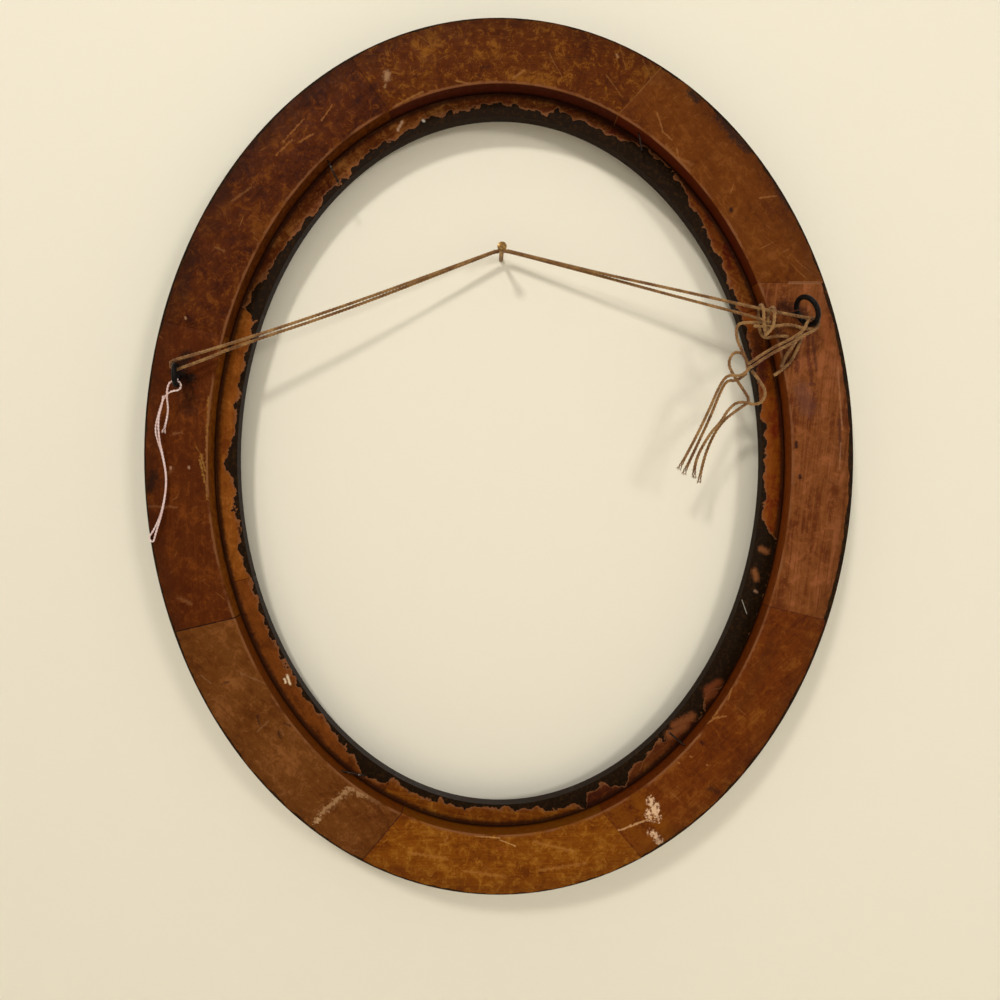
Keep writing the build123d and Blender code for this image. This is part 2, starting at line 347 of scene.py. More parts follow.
@dataclass(frozen=True)
class Wood:
    """Poplar, sawn by hand and browned by stain, hands and age.

    The eye gets soft grain, leathery mottling of the old stain, and fine pale scratches every way.
    """

    name: str
    turn: float
    dark: str
    middle: str
    light: str
    shift: float
    streaks: float
    scratched: float
    marks: tuple[Marks, ...] = ()
    start: Seam = Seam(SOOT, 0.5, 0.4, 0.25)
    end: Seam = Seam(SOOT, 0.5, 0.4, 0.25)

    def figure(self, nodes: Nodes, place: object) -> tuple[object, object]:
        """Lay the grain, the mottled stain, the scratches and the marks.

        Args:
            nodes: the material's nodes.
            place: the object coordinates.

        Returns:
            The colour and a height for the bump.
        """
        add = nodes.add
        spot = (self.shift,) * 3
        turned = add("VectorRotate", ABOUT_Y, Vector=place, Angle=math.radians(self.turn))
        along = add("Mapping", Vector=turned, Scale=(1 / 10, 1, 1), Location=spot)
        drawn = add("Mapping", Vector=turned, Scale=(1 / 26, 1, 1), Location=spot)
        # Bands of the grain about 5 mm wide, its fibres about 1 mm, as coarse as the render can show
        bands = nodes.noise(along, 5, detail=3, rough=0.6)
        fibres = nodes.noise(drawn, 1.1, detail=3, rough=0.6)
        # The stain lies in clouds of about 30 mm and in mottles of about 6 mm
        clouds = nodes.noise(place, 30, detail=3, rough=0.6)
        mottle = nodes.noise(place, 6, detail=6, rough=0.74, warp=0.7)
        mixed = nodes.times(clouds, 0.9, plus=mottle)
        mixed = nodes.times(bands, self.streaks, plus=mixed)
        middle = 0.95 + self.streaks / 2  # the mean of the mixed noises
        low = nodes.ease(mixed, middle - 0.26, middle + 0.02)
        high = nodes.ease(mixed, middle, middle + 0.28)
        pores = nodes.ease(fibres, 0.52, 0.7, 0.75 * self.streaks)
        shine = nodes.ease(fibres, 0.46, 0.3, 0.6 * self.streaks)
        curls = nodes.ease(mottle, 0.56, 0.66, 0.45)
        base = nodes.over(self.dark, self.middle, low)
        layers = ((high, self.light), (pores, self.dark), (shine, self.light), (curls, self.light))
        for amount, tint in layers:
            base = nodes.over(base, tint, amount)
        # The stain is crazed by curled scratches about 0.5 mm wide
        patch = nodes.ease(mottle, 0.44, 0.56, self.scratched)
        for moved in (0.3, 0.7):
            way = add("Mapping", Vector=place, Location=(moved, self.shift, moved))
            line = nodes.noise(way, 9, detail=3, rough=0.55, warp=0.6)
            line = add("Math", {"operation": "COMPARE"}, i0=line, i1=0.5, i2=0.011)
            line = nodes.times(line, patch)
            base = nodes.over(base, self.light, line)
        # Straight scratches are about 0.4 mm wide and up to 15 mm long, in three directions
        lines = None
        for turn, moved in ((27, 0.1), (68, 0.4), (-39, 0.8)):
            way = add("VectorRotate", ABOUT_Y, Vector=place, Angle=math.radians(turn))
            way = add("Mapping", Vector=way, Scale=(1 / 14, 1, 1), Location=(moved, self.shift, moved))
            line = nodes.noise(way, 1.2, detail=1, rough=0.5)
            lines = line if lines is None else add("Math", GREATER, i0=lines, i1=line)
        lines = nodes.ease(lines, 0.72, 0.8)
        patch = nodes.ease(clouds, 0.42, 0.62, self.scratched)
        lines = nodes.times(lines, patch)
        base = nodes.over(base, SCRATCH, lines)
        for mark in self.marks:
            base = mark.draw(nodes, place, base)
        height = nodes.times(mottle, 0.5, plus=nodes.times(fibres, 0.7))
        return base, height

    def joints(self, nodes: Nodes, stray: object, base: object) -> object:
        """Draw the glue line at each end of the piece.

        Args:
            nodes: the material's nodes.
            stray: the noise that makes a line waver.
            base: the colour under the lines.

        Returns:
            The colour with the lines.
        """
        for name, seam in (("start_seam", self.start), ("end_seam", self.end)):
            away = nodes.times(stray, 0.8, plus=nodes.measured(name))
            line = nodes.ease(away, 0.4 + seam.width, 0.4 + seam.width * seam.core, seam.strength)
            base = nodes.over(base, seam.tint, line)
        return base


@dataclass(frozen=True)
class BackWood(Wood):
    """The wood of the back ring.

    The eye gets the dark wall of the rabbet with painted shade, the worn arris, the two glue joints and the
    black rim.
    """

    # The wall's tone of each piece carries painted shade, darker on the upper pieces whose wall faces down
    wall: str = "451c05"
    rim: float = 1.4
    shade: float = 0.3

    def build(self) -> bpy.types.Material:
        """Make the material."""
        nodes = Nodes(self.name)
        add = nodes.add
        place = add("TexCoord", None, "Object")
        reach = nodes.measured("reach")
        depth = nodes.times(add("SeparateXYZ", None, 1, Vector=place), 1 / MM)
        base, height = self.figure(nodes, place)
        # Wear comes in flakes of about 4 mm and in stretches of about 17 mm
        small = nodes.noise(place, 4, detail=5, rough=0.7)
        coarse = nodes.noise(place, 17, detail=3, rough=0.6)
        # Darker towards the rim
        outer = nodes.times(coarse, 24.0, plus=reach)
        outer = nodes.ease(outer, 36.0, 50.0, self.shade)
        base = nodes.over(base, "2c1204", outer)
        # The inner arris is rubbed pale in places
        rubbed = nodes.times(small, 3.0, plus=reach)
        rubbed = nodes.ease(rubbed, 3.3, 2.3, 0.75)
        patch = nodes.ease(coarse, 0.36, 0.56)
        rubbed = nodes.times(rubbed, patch)
        base = nodes.over(base, CHIP, rubbed)
        # Below the arris the rabbet's wall is dark, and painted shade darkens it to black at its foot, in
        # the corner with the ledge
        sides = nodes.ease(depth, BACK_FACE + 0.35, BACK_FACE + 0.9)
        inner = nodes.ease(reach, 0.8, 0.5)
        inner = nodes.times(sides, inner)
        foot = nodes.ease(depth, LEDGE_FACE - 4.2, LEDGE_FACE - 1.0, 0.9)
        streak = nodes.ease(small, 0.4, 0.62, 0.6)
        wall = nodes.over(self.wall, self.dark, streak)
        wall = nodes.over(wall, "150502", foot)
        base = nodes.over(base, wall, inner)
        base = self.joints(nodes, small, base)
        # The lacquer of the front comes round the rim in scallops
        edge = nodes.times(small, 2.6, plus=reach)
        edge = nodes.times(coarse, 4.0, plus=edge)
        limit = RING_WIDTH - self.rim + 3.3
        rim = nodes.ease(edge, limit - 0.35, limit + 0.25)
        chip = nodes.ease(small, 0.64, 0.7, 0.7)
        thin = nodes.ease(small, 0.42, 0.64)
        black = nodes.over(PAINT, PAINT_WORN, thin)
        black = nodes.over(black, self.middle, chip)
        base = nodes.over(base, black, rim)
        height = nodes.times(rim, 0.6, plus=height)
        rough = nodes.ease(small, 0.3, 0.7, 0.7, bottom=0.52)
        return nodes.finish(nodes.shader(base, rough, height, 0.55, 0.14, Specular_IOR_Level=0.06))


@dataclass(frozen=True)
class PaintedWood(Wood):
    """The wood of the front ring: bare and brown on the ledge, old black lacquer elsewhere.

    The eye gets a ragged, flaked edge of the black, with a pale rim where flakes came off last.
    """

    islands: tuple[Marks, ...] = ()
    spills_and_shadow: tuple[Marks, ...] = ()

    def build(self) -> bpy.types.Material:
        """Make the material."""
        nodes = Nodes(self.name)
        add = nodes.add
        place = add("TexCoord", None, "Object")
        paint = nodes.measured("paint")
        reach = nodes.measured("reach")
        depth = nodes.times(add("SeparateXYZ", None, 1, Vector=place), 1 / MM)
        base, height = self.figure(nodes, place)
        small = nodes.noise(place, 2.2, detail=4, rough=0.65)
        lumps = nodes.noise(place, 6.5, detail=2, rough=0.5)
        # Painted shade darkens the ledge towards the wall of the rabbet
        shade = nodes.times(small, 3.0, plus=reach)
        shade = nodes.ease(shade, -2.2, 0.6, 0.85)
        base = nodes.over(base, "240c03", shade)
        base = self.joints(nodes, small, base)
        # The edge of the black strays by up to 4 mm in lumps and by 1 mm in flakes
        ragged = nodes.times(lumps, 11.0, plus=paint)
        ragged = nodes.times(small, 3.4, plus=ragged)
        inside = nodes.ease(ragged, 7.35, 7.05)
        width = nodes.ease(lumps, 0.35, 0.6, 9.9, bottom=7.8)
        chip = nodes.ease(ragged, width, 7.3, 0.85)
        base = nodes.over(base, CHIP, chip)
        thin = nodes.ease(small, 0.45, 0.72)
        black = nodes.over(PAINT, PAINT_WORN, thin)
        base = nodes.over(base, black, inside)
        for mark in self.islands + self.spills_and_shadow:
            base = mark.draw(nodes, place, base)
        # Off the ledge the lacquer is whole, and on the front it still shines
        sides = nodes.ease(depth, LEDGE_FACE + 0.05, LEDGE_FACE + 0.25)
        base = nodes.over(base, black, sides)
        covered = add("Math", GREATER, i0=inside, i1=sides)
        height = nodes.times(covered, 1.2, plus=nodes.times(height, 0.6))
        dull = nodes.ease(small, 0.3, 0.7, 0.7, bottom=0.56)
        front = nodes.ease(depth, -12.0, -8.0, -0.24)
        rough = add("Math", {"operation": "ADD"}, i0=front, i1=dull)
        return nodes.finish(nodes.shader(base, rough, height, 0.6, 0.15, Specular_IOR_Level=0.07))


@dataclass(frozen=True)
class AgedMetal:
    """Drawn iron or steel wire with a brown film of age; the nail's brass colour is painted reflection.

    The eye gets a dark, half dull metal that is bright where it was rubbed.
    """

    name: str
    film: str
    bare: str
    rust: str
    roughness: float
    worn: float

    def build(self) -> bpy.types.Material:
        """Make the material."""
        nodes = Nodes(self.name)
        add = nodes.add
        place = add("TexCoord", None, "Object")
        # The film wears off in clouds of 3 mm, and rust sits in specks of 0.8 mm
        clouds = nodes.noise(place, 3, detail=4, rough=0.65)
        specks = nodes.noise(place, 0.8, detail=3, rough=0.6)
        rubbed = nodes.ease(clouds, self.worn, self.worn + 0.12)
        base = nodes.over(self.film, self.bare, rubbed)
        spots = nodes.ease(specks, 0.6, 0.72, 0.7)
        base = nodes.over(base, self.rust, spots)
        metallic = nodes.times(spots, -0.6, plus=0.85)
        rough = nodes.ease(specks, 0.35, 0.7, self.roughness + 0.2, bottom=self.roughness)
        return nodes.finish(nodes.shader(base, rough, specks, 0.35, 0.08, Metallic=metallic))


@dataclass(frozen=True)
class TwistedFibre:
    """Spun fibre, such as jute or cotton.

    The eye gets a dull surface with light and dark fibres that run along each ply.
    """

    name: str
    dark: str
    middle: str
    light: str
    fibre: float
    fuzz: float

    def build(self) -> bpy.types.Material:
        """Make the material. Its fibres follow the strand's own UV map, in metres."""
        nodes = Nodes(self.name)
        add = nodes.add
        along = add("UVMap", {"uv_map": "strand"})
        drawn = add("Mapping", Vector=along, Scale=(0.12, 1, 1))
        place = add("TexCoord", None, "Object")
        fibres = nodes.noise(drawn, self.fibre, detail=3, rough=0.7)
        clouds = nodes.noise(place, 9, detail=4, rough=0.65)
        soiled = nodes.ease(clouds, 0.35, 0.65)
        base = nodes.over(self.middle, self.light, soiled)
        low = nodes.ease(fibres, 0.5, 0.34, 0.8)
        base = nodes.over(base, self.dark, low)
        high = nodes.ease(fibres, 0.58, 0.74, 0.6)
        base = nodes.over(base, self.light, high)
        shader = nodes.shader(base, 0.9, fibres, 0.7, 0.12, Sheen_Weight=self.fuzz, Specular_IOR_Level=0.25)
        return nodes.finish(shader)


@dataclass(frozen=True)
class MattPaint:
    """Matt emulsion paint on plaster.

    The eye gets an even, pale surface with the faint unevenness that a roller leaves.
    """

    name: str
    tint: str
    see_through: bool = False

    def build(self) -> bpy.types.Material:
        """Make the material. A see-through one shows only its front, and lets the lamps shine through."""
        nodes = Nodes(self.name)
        add = nodes.add
        place = add("TexCoord", None, "Object")
        nap = nodes.noise(place, 4, detail=3, rough=0.55)  # a roller's nap
        shader = nodes.shader(self.tint, 0.85, nap, 0.15, 0.3)
        if self.see_through:
            behind = add("NewGeometry", None, "Backfacing")
            open_way = add("Math", GREATER, i0=behind, i1=add("LightPath", None, "Is Shadow Ray"))
            shader = add("MixShader", i0=open_way, i1=shader, i2=add("BsdfTransparent"))
        return nodes.finish(shader)


@dataclass
class Strands:
    """Collects the strands of a cord into one mesh with a UV map in metres."""

    places: list[Vector] = field(default_factory=list)
    faces: list[tuple[int, ...]] = field(default_factory=list)
    maps: list[Pair] = field(default_factory=list)

    def strand(self, centres: list[Vector], sides: list[tuple[Vector, Vector]], radii: list[float],
               count: int, lengths: list[float]) -> None:
        """Add one strand.

        Args:
            centres: the strand's middle line.
            sides: two crosswise directions at each centre.
            radii: the strand's radius at each centre.
            count: how many corners its section has.
            lengths: the length from the cord's start, for the UV map.
        """
        first = len(self.places)
        for centre, (right, up), radius in zip(centres, sides, radii):
            for k in range(count):
                turn = 2 * math.pi * k / count
                self.places.append(centre + (right * math.cos(turn) + up * math.sin(turn)) * radius)
        around = 2 * math.pi * max(radii) / count
        for i in range(len(centres) - 1):
            low, high = first + i * count, first + (i + 1) * count
            for k in range(count):
                after = (k + 1) % count
                self.faces.append((low + k, low + after, high + after, high + k))
                start, end = lengths[i], lengths[i + 1]
                left, right_side = k * around, (k + 1) * around
                self.maps += [(start, left), (start, right_side), (end, right_side), (end, left)]
        last = first + (len(centres) - 1) * count
        self.faces.append(tuple(first + k for k in reversed(range(count))))
        self.faces.append(tuple(last + k for k in range(count)))
        self.maps += [(lengths[0], 0.0)] * count + [(lengths[-1], 0.0)] * count

    def mesh(self, name: str) -> bpy.types.Object:
        """Make the object."""
        mesh = bpy.data.meshes.new(name)
        mesh.from_pydata([tuple(p) for p in self.places], [], self.faces)
        layer = mesh.uv_layers.new(name="strand")
        layer.uv.foreach_set("vector", [c for pair in self.maps for c in pair])
        mesh.polygons.foreach_set("use_smooth", [True] * len(mesh.polygons))
        piece = bpy.data.objects.new(name, mesh)
        bpy.context.scene.collection.objects.link(piece)
        return piece


@dataclass
class Cord:
    """One length of twine or thread, laid as plies round the line of its route."""

    name: str
    route: tuple[Triple, ...]
    thickness: float
    plies: int
    lay_length: float
    far_end: FarEnd
    lay: Lay
    material_slot: str
    loose_end: bool = False
    frayed: float = 2.6
    opened: float = 6.0

    def line(self) -> list[Vector]:
        """Read even points from the route's NURBS spline.

        Returns:
            Points in metres, a third of the cord's thickness apart.
        """
        curve = bpy.data.curves.new(self.name + "_route", "CURVE")
        curve.dimensions = "3D"
        curve.resolution_u = 40
        spline = curve.splines.new("NURBS")
        spline.points.add(len(self.route) - 1)
        for point, place in zip(spline.points, self.route):
            point.co = (place[0] * MM, place[1] * MM, place[2] * MM, 1)
        spline.order_u = 3
        spline.use_endpoint_u = True
        holder = bpy.data.objects.new(self.name + "_route", curve)
        drawn = bpy.data.meshes.new_from_object(holder)
        read = [v.co.copy() for v in drawn.vertices]
        bpy.data.objects.remove(holder)
        bpy.data.curves.remove(curve)
        bpy.data.meshes.remove(drawn)
        step = self.thickness * MM / 3
        points, left = [read[0]], step
        for before, after in zip(read, read[1:]):
            run = (after - before).length
            while run > 0 and left <= run:
                before = before + (after - before) * (left / run)
                points.append(before)
                run = (after - before).length
                left = step
            left -= run
        return points

    def crosswise(self, points: list[Vector]) -> list[tuple[Vector, Vector]]:
        """Give two crosswise directions at each point that don't spin along the cord.

        Args:
            points: the middle line.

        Returns:
            A pair of unit directions for each point.
        """
        sides = []
        side = Vector((0.31, 0.22, 0.93))  # no cord starts this way
        for i in range(len(points)):
            ahead = (points[min(i + 1, len(points) - 1)] - points[max(i - 1, 0)]).normalized()
            side = (side - ahead * side.dot(ahead)).normalized()
            sides.append((side, ahead.cross(side)))
        return sides

    def build(self, material: bpy.types.Material) -> bpy.types.Object:
        """Args:
            material: the fibre.

        Returns:
            The finished piece.
        """
        points = self.line()
        sides = self.crosswise(points)
        step = self.thickness * MM / 3
        size = self.thickness * MM / 2
        ply = size / (1 + 1 / math.sin(math.pi / self.plies))
        away = size - ply
        strands = Strands()
        frayed = int(self.frayed * MM / step)
        kept = len(points) - frayed if self.loose_end else len(points)
        lengths = [i * step for i in range(kept)]
        chance = random.Random(self.name)
        for k in range(self.plies):
            centres, radii = [], []
            for i in range(kept):
                turn = 2 * math.pi * (k / self.plies + i * step / (self.lay_length * MM))
                opened = self.opening((kept - 1 - i) * step) if self.loose_end else 0.0
                right, up = sides[i]
                offset = (right * math.cos(turn) + up * math.sin(turn)) * away * (1 + 0.9 * opened)
                centres.append(points[i] + offset)
                radii.append(ply * (1 - 0.25 * opened) * chance.uniform(0.94, 1.04))
            strands.strand(centres, sides[:kept], radii, 8, lengths)
            if self.loose_end:
                self.fray(strands, centres[-1], points[-1] - points[-frayed], chance)
        self.hairs(strands, points, sides, chance)
        piece = strands.mesh(self.name + "_plies")
        dress(piece, material, self.name, Body.FRAME)
        log.info("%s: %.0f mm long", self.name, len(points) * step / MM)
        return piece

    def opening(self, length: float) -> float:
        """Give how far the plies have opened at a length from a loose end, from 0 to 1."""
        return max(0.0, 1 - length / (self.opened * MM)) ** 1.5

    def fray(self, strands: Strands, tip: Vector, way: Vector, chance: random.Random) -> None:
        """Add the loose fibres at the tip of one ply.

        Args:
            strands: the mesh to add to.
            tip: the end of the ply.
            way: the direction that the cord ends in.
            chance: the seeded source of chance.
        """
        ahead = way.normalized()
        # Nine fibres show, 1.2 to 2.5 mm long and about 0.2 mm thick
        for _ in range(9):
            splay = Vector((chance.gauss(0, 1), chance.gauss(0, 1), chance.gauss(0, 1))) * 0.28
            goal = tip + (ahead + splay).normalized() * chance.uniform(1.2, 2.5) * MM
            bow = (tip + goal) / 2 + splay * 0.4 * MM
            right = ahead.orthogonal().normalized()
            pairs = [(right, ahead.cross(right))] * 3
            strands.strand([tip, bow, goal], pairs, [0.11 * MM, 0.09 * MM, 0.05 * MM], 4, [0, MM, 2 * MM])

    def hairs(self, strands: Strands, points: list[Vector], sides: list[tuple[Vector, Vector]],
              chance: random.Random) -> None:
        """Add the fine hairs that stand off spun fibre.

        Args:
            strands: the mesh to add to.
            points: the middle line.
            sides: the crosswise directions.
            chance: the seeded source of chance.
        """
        gap = 5 if self.material_slot == "twine" else 14  # cotton is smoother than jute
        for i in range(3, len(points) - 3, gap):
            turn = chance.uniform(0, 2 * math.pi)
            right, up = sides[i]
            out = right * math.cos(turn) + up * math.sin(turn)
            ahead = (points[i + 1] - points[i]).normalized() * chance.choice((-1, 1))
            root = points[i] + out * self.thickness * 0.4 * MM
            size = self.thickness * chance.uniform(0.25, 0.6) * MM
            middle = root + out * size * 0.5 + ahead * size * 0.6
            tip = root + out * size * chance.uniform(0.6, 1.1) + ahead * size * chance.uniform(1.0, 1.8)
            thin = 0.03 * self.thickness * MM
            widths = [thin, thin, thin * 0.6]
            strands.strand([root, middle, tip], [(right, up)] * 3, widths, 3, [0, size, size])


def bent(*points: Pair, count: int = 8) -> list[Pair]:
    """Give points on the arc through three points, without its last one.

    Args:
        points: the start, a point between and the end.
        count: how many pieces the arc has.

    Returns:
        The arc's points.
    """
    (ax, ay), (bx, by), (cx, cy) = points
    twice = 2 * (ax * (by - cy) + bx * (cy - ay) + cx * (ay - by))
    a2, b2, c2 = ax * ax + ay * ay, bx * bx + by * by, cx * cx + cy * cy
    ux = (a2 * (by - cy) + b2 * (cy - ay) + c2 * (ay - by)) / twice
    uy = (a2 * (cx - bx) + b2 * (ax - cx) + c2 * (bx - ax)) / twice
    radius = math.hypot(ax - ux, ay - uy)
    start, middle, end = (math.atan2(y - uy, x - ux) for x, y in points)
    sweep = (end - start) % (2 * math.pi)
    if (middle - start) % (2 * math.pi) > sweep:
        sweep -= 2 * math.pi
    turns = [start + sweep * i / count for i in range(count)]
    return [(ux + radius * math.cos(t), uy + radius * math.sin(t)) for t in turns]


@dataclass
class GluedRing:
    """A ring of wooden pieces glued end to end, with one section all the way round the oval."""

    prefix: str
    outline: list[Pair]
    joints: dict[str, Pair]
    inner: float
    groove: float
    paint_widths: tuple[Pair, ...] = ((0.0, 0.0), (360.0, 0.0))
    steps: int = 48
    spare: float = 14.0
    soft_below: float = 28.0

    def whole(self) -> bpy.types.Object:
        """Draw the section round the oval and turn the result into a mesh.

        Returns:
            The uncut ring, in its place.
        """
        curve = bpy.data.curves.new(self.prefix + "_section", "CURVE")
        spline = curve.splines.new("POLY")
        spline.points.add(len(self.outline) - 1)
        for point, (reach, depth) in zip(spline.points, self.outline):
            point.co = (-reach * MM, -depth * MM, 0, 1)
        spline.use_cyclic_u = True
        section = bpy.data.objects.new(self.prefix + "_section", curve)
        bpy.context.scene.collection.objects.link(section)
        deselect()
        bpy.ops.curve.primitive_bezier_circle_add(radius=1)
        oval = bpy.context.object
        oval.scale = (HALF_WIDTH * MM, HALF_HEIGHT * MM, 1)
        bpy.ops.object.transform_apply(location=False, rotation=False, scale=True)
        for point in oval.data.splines[0].bezier_points:
            point.radius = 1
        oval.data.dimensions = "2D"
        oval.data.fill_mode = "NONE"
        oval.data.resolution_u = self.steps
        oval.data.bevel_mode = "OBJECT"
        oval.data.bevel_object = section
        take(oval)
        bpy.ops.object.convert(target="MESH")
        ring = bpy.context.object
        ring.rotation_euler = (math.radians(90), 0, 0)
        ring.location = (0, 0, -DROP * MM)
        settle()
        bpy.data.objects.remove(section)
        bpy.ops.object.mode_set(mode="EDIT")
        bpy.ops.mesh.select_all(action="SELECT")
        bpy.ops.mesh.remove_doubles(threshold=CLOSE * MM)
        face_outwards()
        return ring

    def joint_plane(self, name: str) -> tuple[Vector, Vector]:
        """Give a point and the counter-clockwise normal of a glue joint."""
        place, direction = (math.radians(v) for v in self.joints[name])
        middle = (self.inner + RING_WIDTH) / 2
        x = (HALF_WIDTH + middle) * math.cos(place)
        z = (HALF_HEIGHT + middle) * math.sin(place) - DROP
        return Vector((x, 0, z)) * MM, Vector((-math.sin(direction), 0, math.cos(direction)))

    def piece(self, ring: bpy.types.Object, name: str) -> bpy.types.Object:
        """Saw one piece out of a copy of the ring and ease its sawn ends.

        Args:
            ring: the uncut ring.
            name: the piece's name among the joints.

        Returns:
            The piece.
        """
        names = list(self.joints)
        following = names[(names.index(name) + 1) % len(names)]
        start, end = self.joints[name][0], self.joints[following][0]
        end = end + 360 if end < start else end
        middle, half = (start + end) / 2, (end - start) / 2
        take(ring)
        bpy.ops.object.duplicate()
        part = bpy.context.object
        part.name = f"{self.prefix}_wood_{name}"

        def far(place: Vector) -> bool:
            """Tell whether a face is away from this piece."""
            turn = math.degrees(math.atan2((place.z / MM + DROP) / HALF_HEIGHT, place.x / MM / HALF_WIDTH))
            return abs((turn - middle + 180) % 360 - 180) > half + self.spare

        choose(part, far, Part.FACE)
        bpy.ops.mesh.delete(type="FACE")
        first, second = self.joint_plane(name), self.joint_plane(following)
        for (place, normal), clear in ((first, "inner"), (second, "outer")):
            bpy.ops.mesh.select_all(action="SELECT")
            sides = {"clear_inner": clear == "inner", "clear_outer": clear == "outer"}
            bpy.ops.mesh.bisect(plane_co=place, plane_no=normal, use_fill=True, **sides)
        for place, normal in (first, second):
            choose(part, lambda spot: abs((spot - place).dot(normal)) < 0.001 * MM, Part.EDGE)
            bpy.ops.mesh.bevel(offset=self.groove * MM, segments=2, affect="EDGES")
        face_outwards()
        bpy.ops.object.shade_smooth_by_angle(angle=math.radians(self.soft_below))
        self.measure(part, (first, second))
        return part

    def measure(self, part: bpy.types.Object, ends: tuple[tuple[Vector, Vector], ...]) -> None:
        """Give each vertex its way from the rabbet's wall, from both joints and from the paint's edge.

        Args:
            part: the piece.
            ends: the planes of its two joints.
        """
        measured = {"reach": [], "start_seam": [], "end_seam": [], "paint": []}
        for vertex in part.data.vertices:
            x, z = vertex.co.x / MM, vertex.co.z / MM + DROP
            reach = oval_reach(x, z)
            measured["reach"].append(reach)
            for name, (place, normal) in zip(("start_seam", "end_seam"), ends):
                measured[name].append(abs((vertex.co - place).dot(normal)) / MM)
            turn = math.degrees(nearest_angle(x, z)) % 360
            measured["paint"].append(reach - self.inner - self.paint_width(turn))
        for name, values in measured.items():
            layer = part.data.attributes.new(name, "FLOAT", "POINT")
            layer.data.foreach_set("value", values)

    def paint_width(self, turn: float) -> float:
        """Give the width of the painted band at an angle of the oval."""
        for (low, before), (high, after) in zip(self.paint_widths, self.paint_widths[1:]):
            if low <= turn <= high:
                return before + (after - before) * (turn - low) / (high - low)
        return self.paint_widths[0][1]

    def build(self, finishes: dict[str, Wood], slots: dict[str, str]) -> list[bpy.types.Object]:
        """Make every piece, dress it and let it stand for its CAD node.

        Args:
            finishes: the wood of each piece.
            slots: the material slot of each piece; not used.

        Returns:
            The pieces.
        """
        ring = self.whole()
        pieces = []
        for name in self.joints:
            part = self.piece(ring, name)
            dress(part, finishes[name].build(), f"{self.prefix}_segment_{name}", Body.FRAME)
            pieces.append(part)
        bpy.data.objects.remove(ring)
        return pieces


def turned(name: str, stations: tuple[Pair, ...], count: int) -> bpy.types.Object:
    """Draw a round piece up from a circle by extruding and scaling, along its own Z.

    Args:
        name: the piece's name.
        stations: radius and height of each ring, in millimetres.
        count: how many corners a ring has.

    Returns:
        The closed piece.
    """
    deselect()
    radius, height = stations[0]
    bpy.ops.mesh.primitive_circle_add(vertices=count, radius=radius * MM, fill_type="NGON",
                                      location=(0, 0, height * MM))
    piece = bpy.context.object
    piece.name = name
    settle()
    bpy.ops.object.mode_set(mode="EDIT")
    bpy.ops.mesh.select_all(action="SELECT")
    for after_radius, after_height in stations[1:]:
        rise = (after_height - height) * MM
        bpy.ops.mesh.extrude_region_move(TRANSFORM_OT_translate={"value": (0, 0, rise)})
        ratio = after_radius / radius
        bpy.ops.transform.resize(value=(ratio, ratio, 1))
        radius, height = after_radius, after_height
    face_outwards()
    return piece


def put(piece: bpy.types.Object, origin: Triple, x_way: Vector, z_way: Vector) -> None:
    """Move a piece from its own axes to its place, and apply it.

    Args:
        piece: the piece.
        origin: where its own origin goes, in millimetres.
        x_way: where its X goes.
        z_way: where its Z goes.
    """
    z_way = z_way.normalized()
    x_way = (x_way - z_way * x_way.dot(z_way)).normalized()
    turn = Matrix((x_way, z_way.cross(x_way), z_way)).transposed().to_4x4()
    piece.matrix_world = Matrix.Translation(Vector(origin) * MM) @ turn
    take(piece)
    settle()


def join(pieces: list[bpy.types.Object]) -> bpy.types.Object:
    """Join pieces into the first one and give it."""
    take(pieces[0])
    for piece in pieces[1:]:
        piece.select_set(True)
    bpy.ops.object.join()
    return pieces[0]


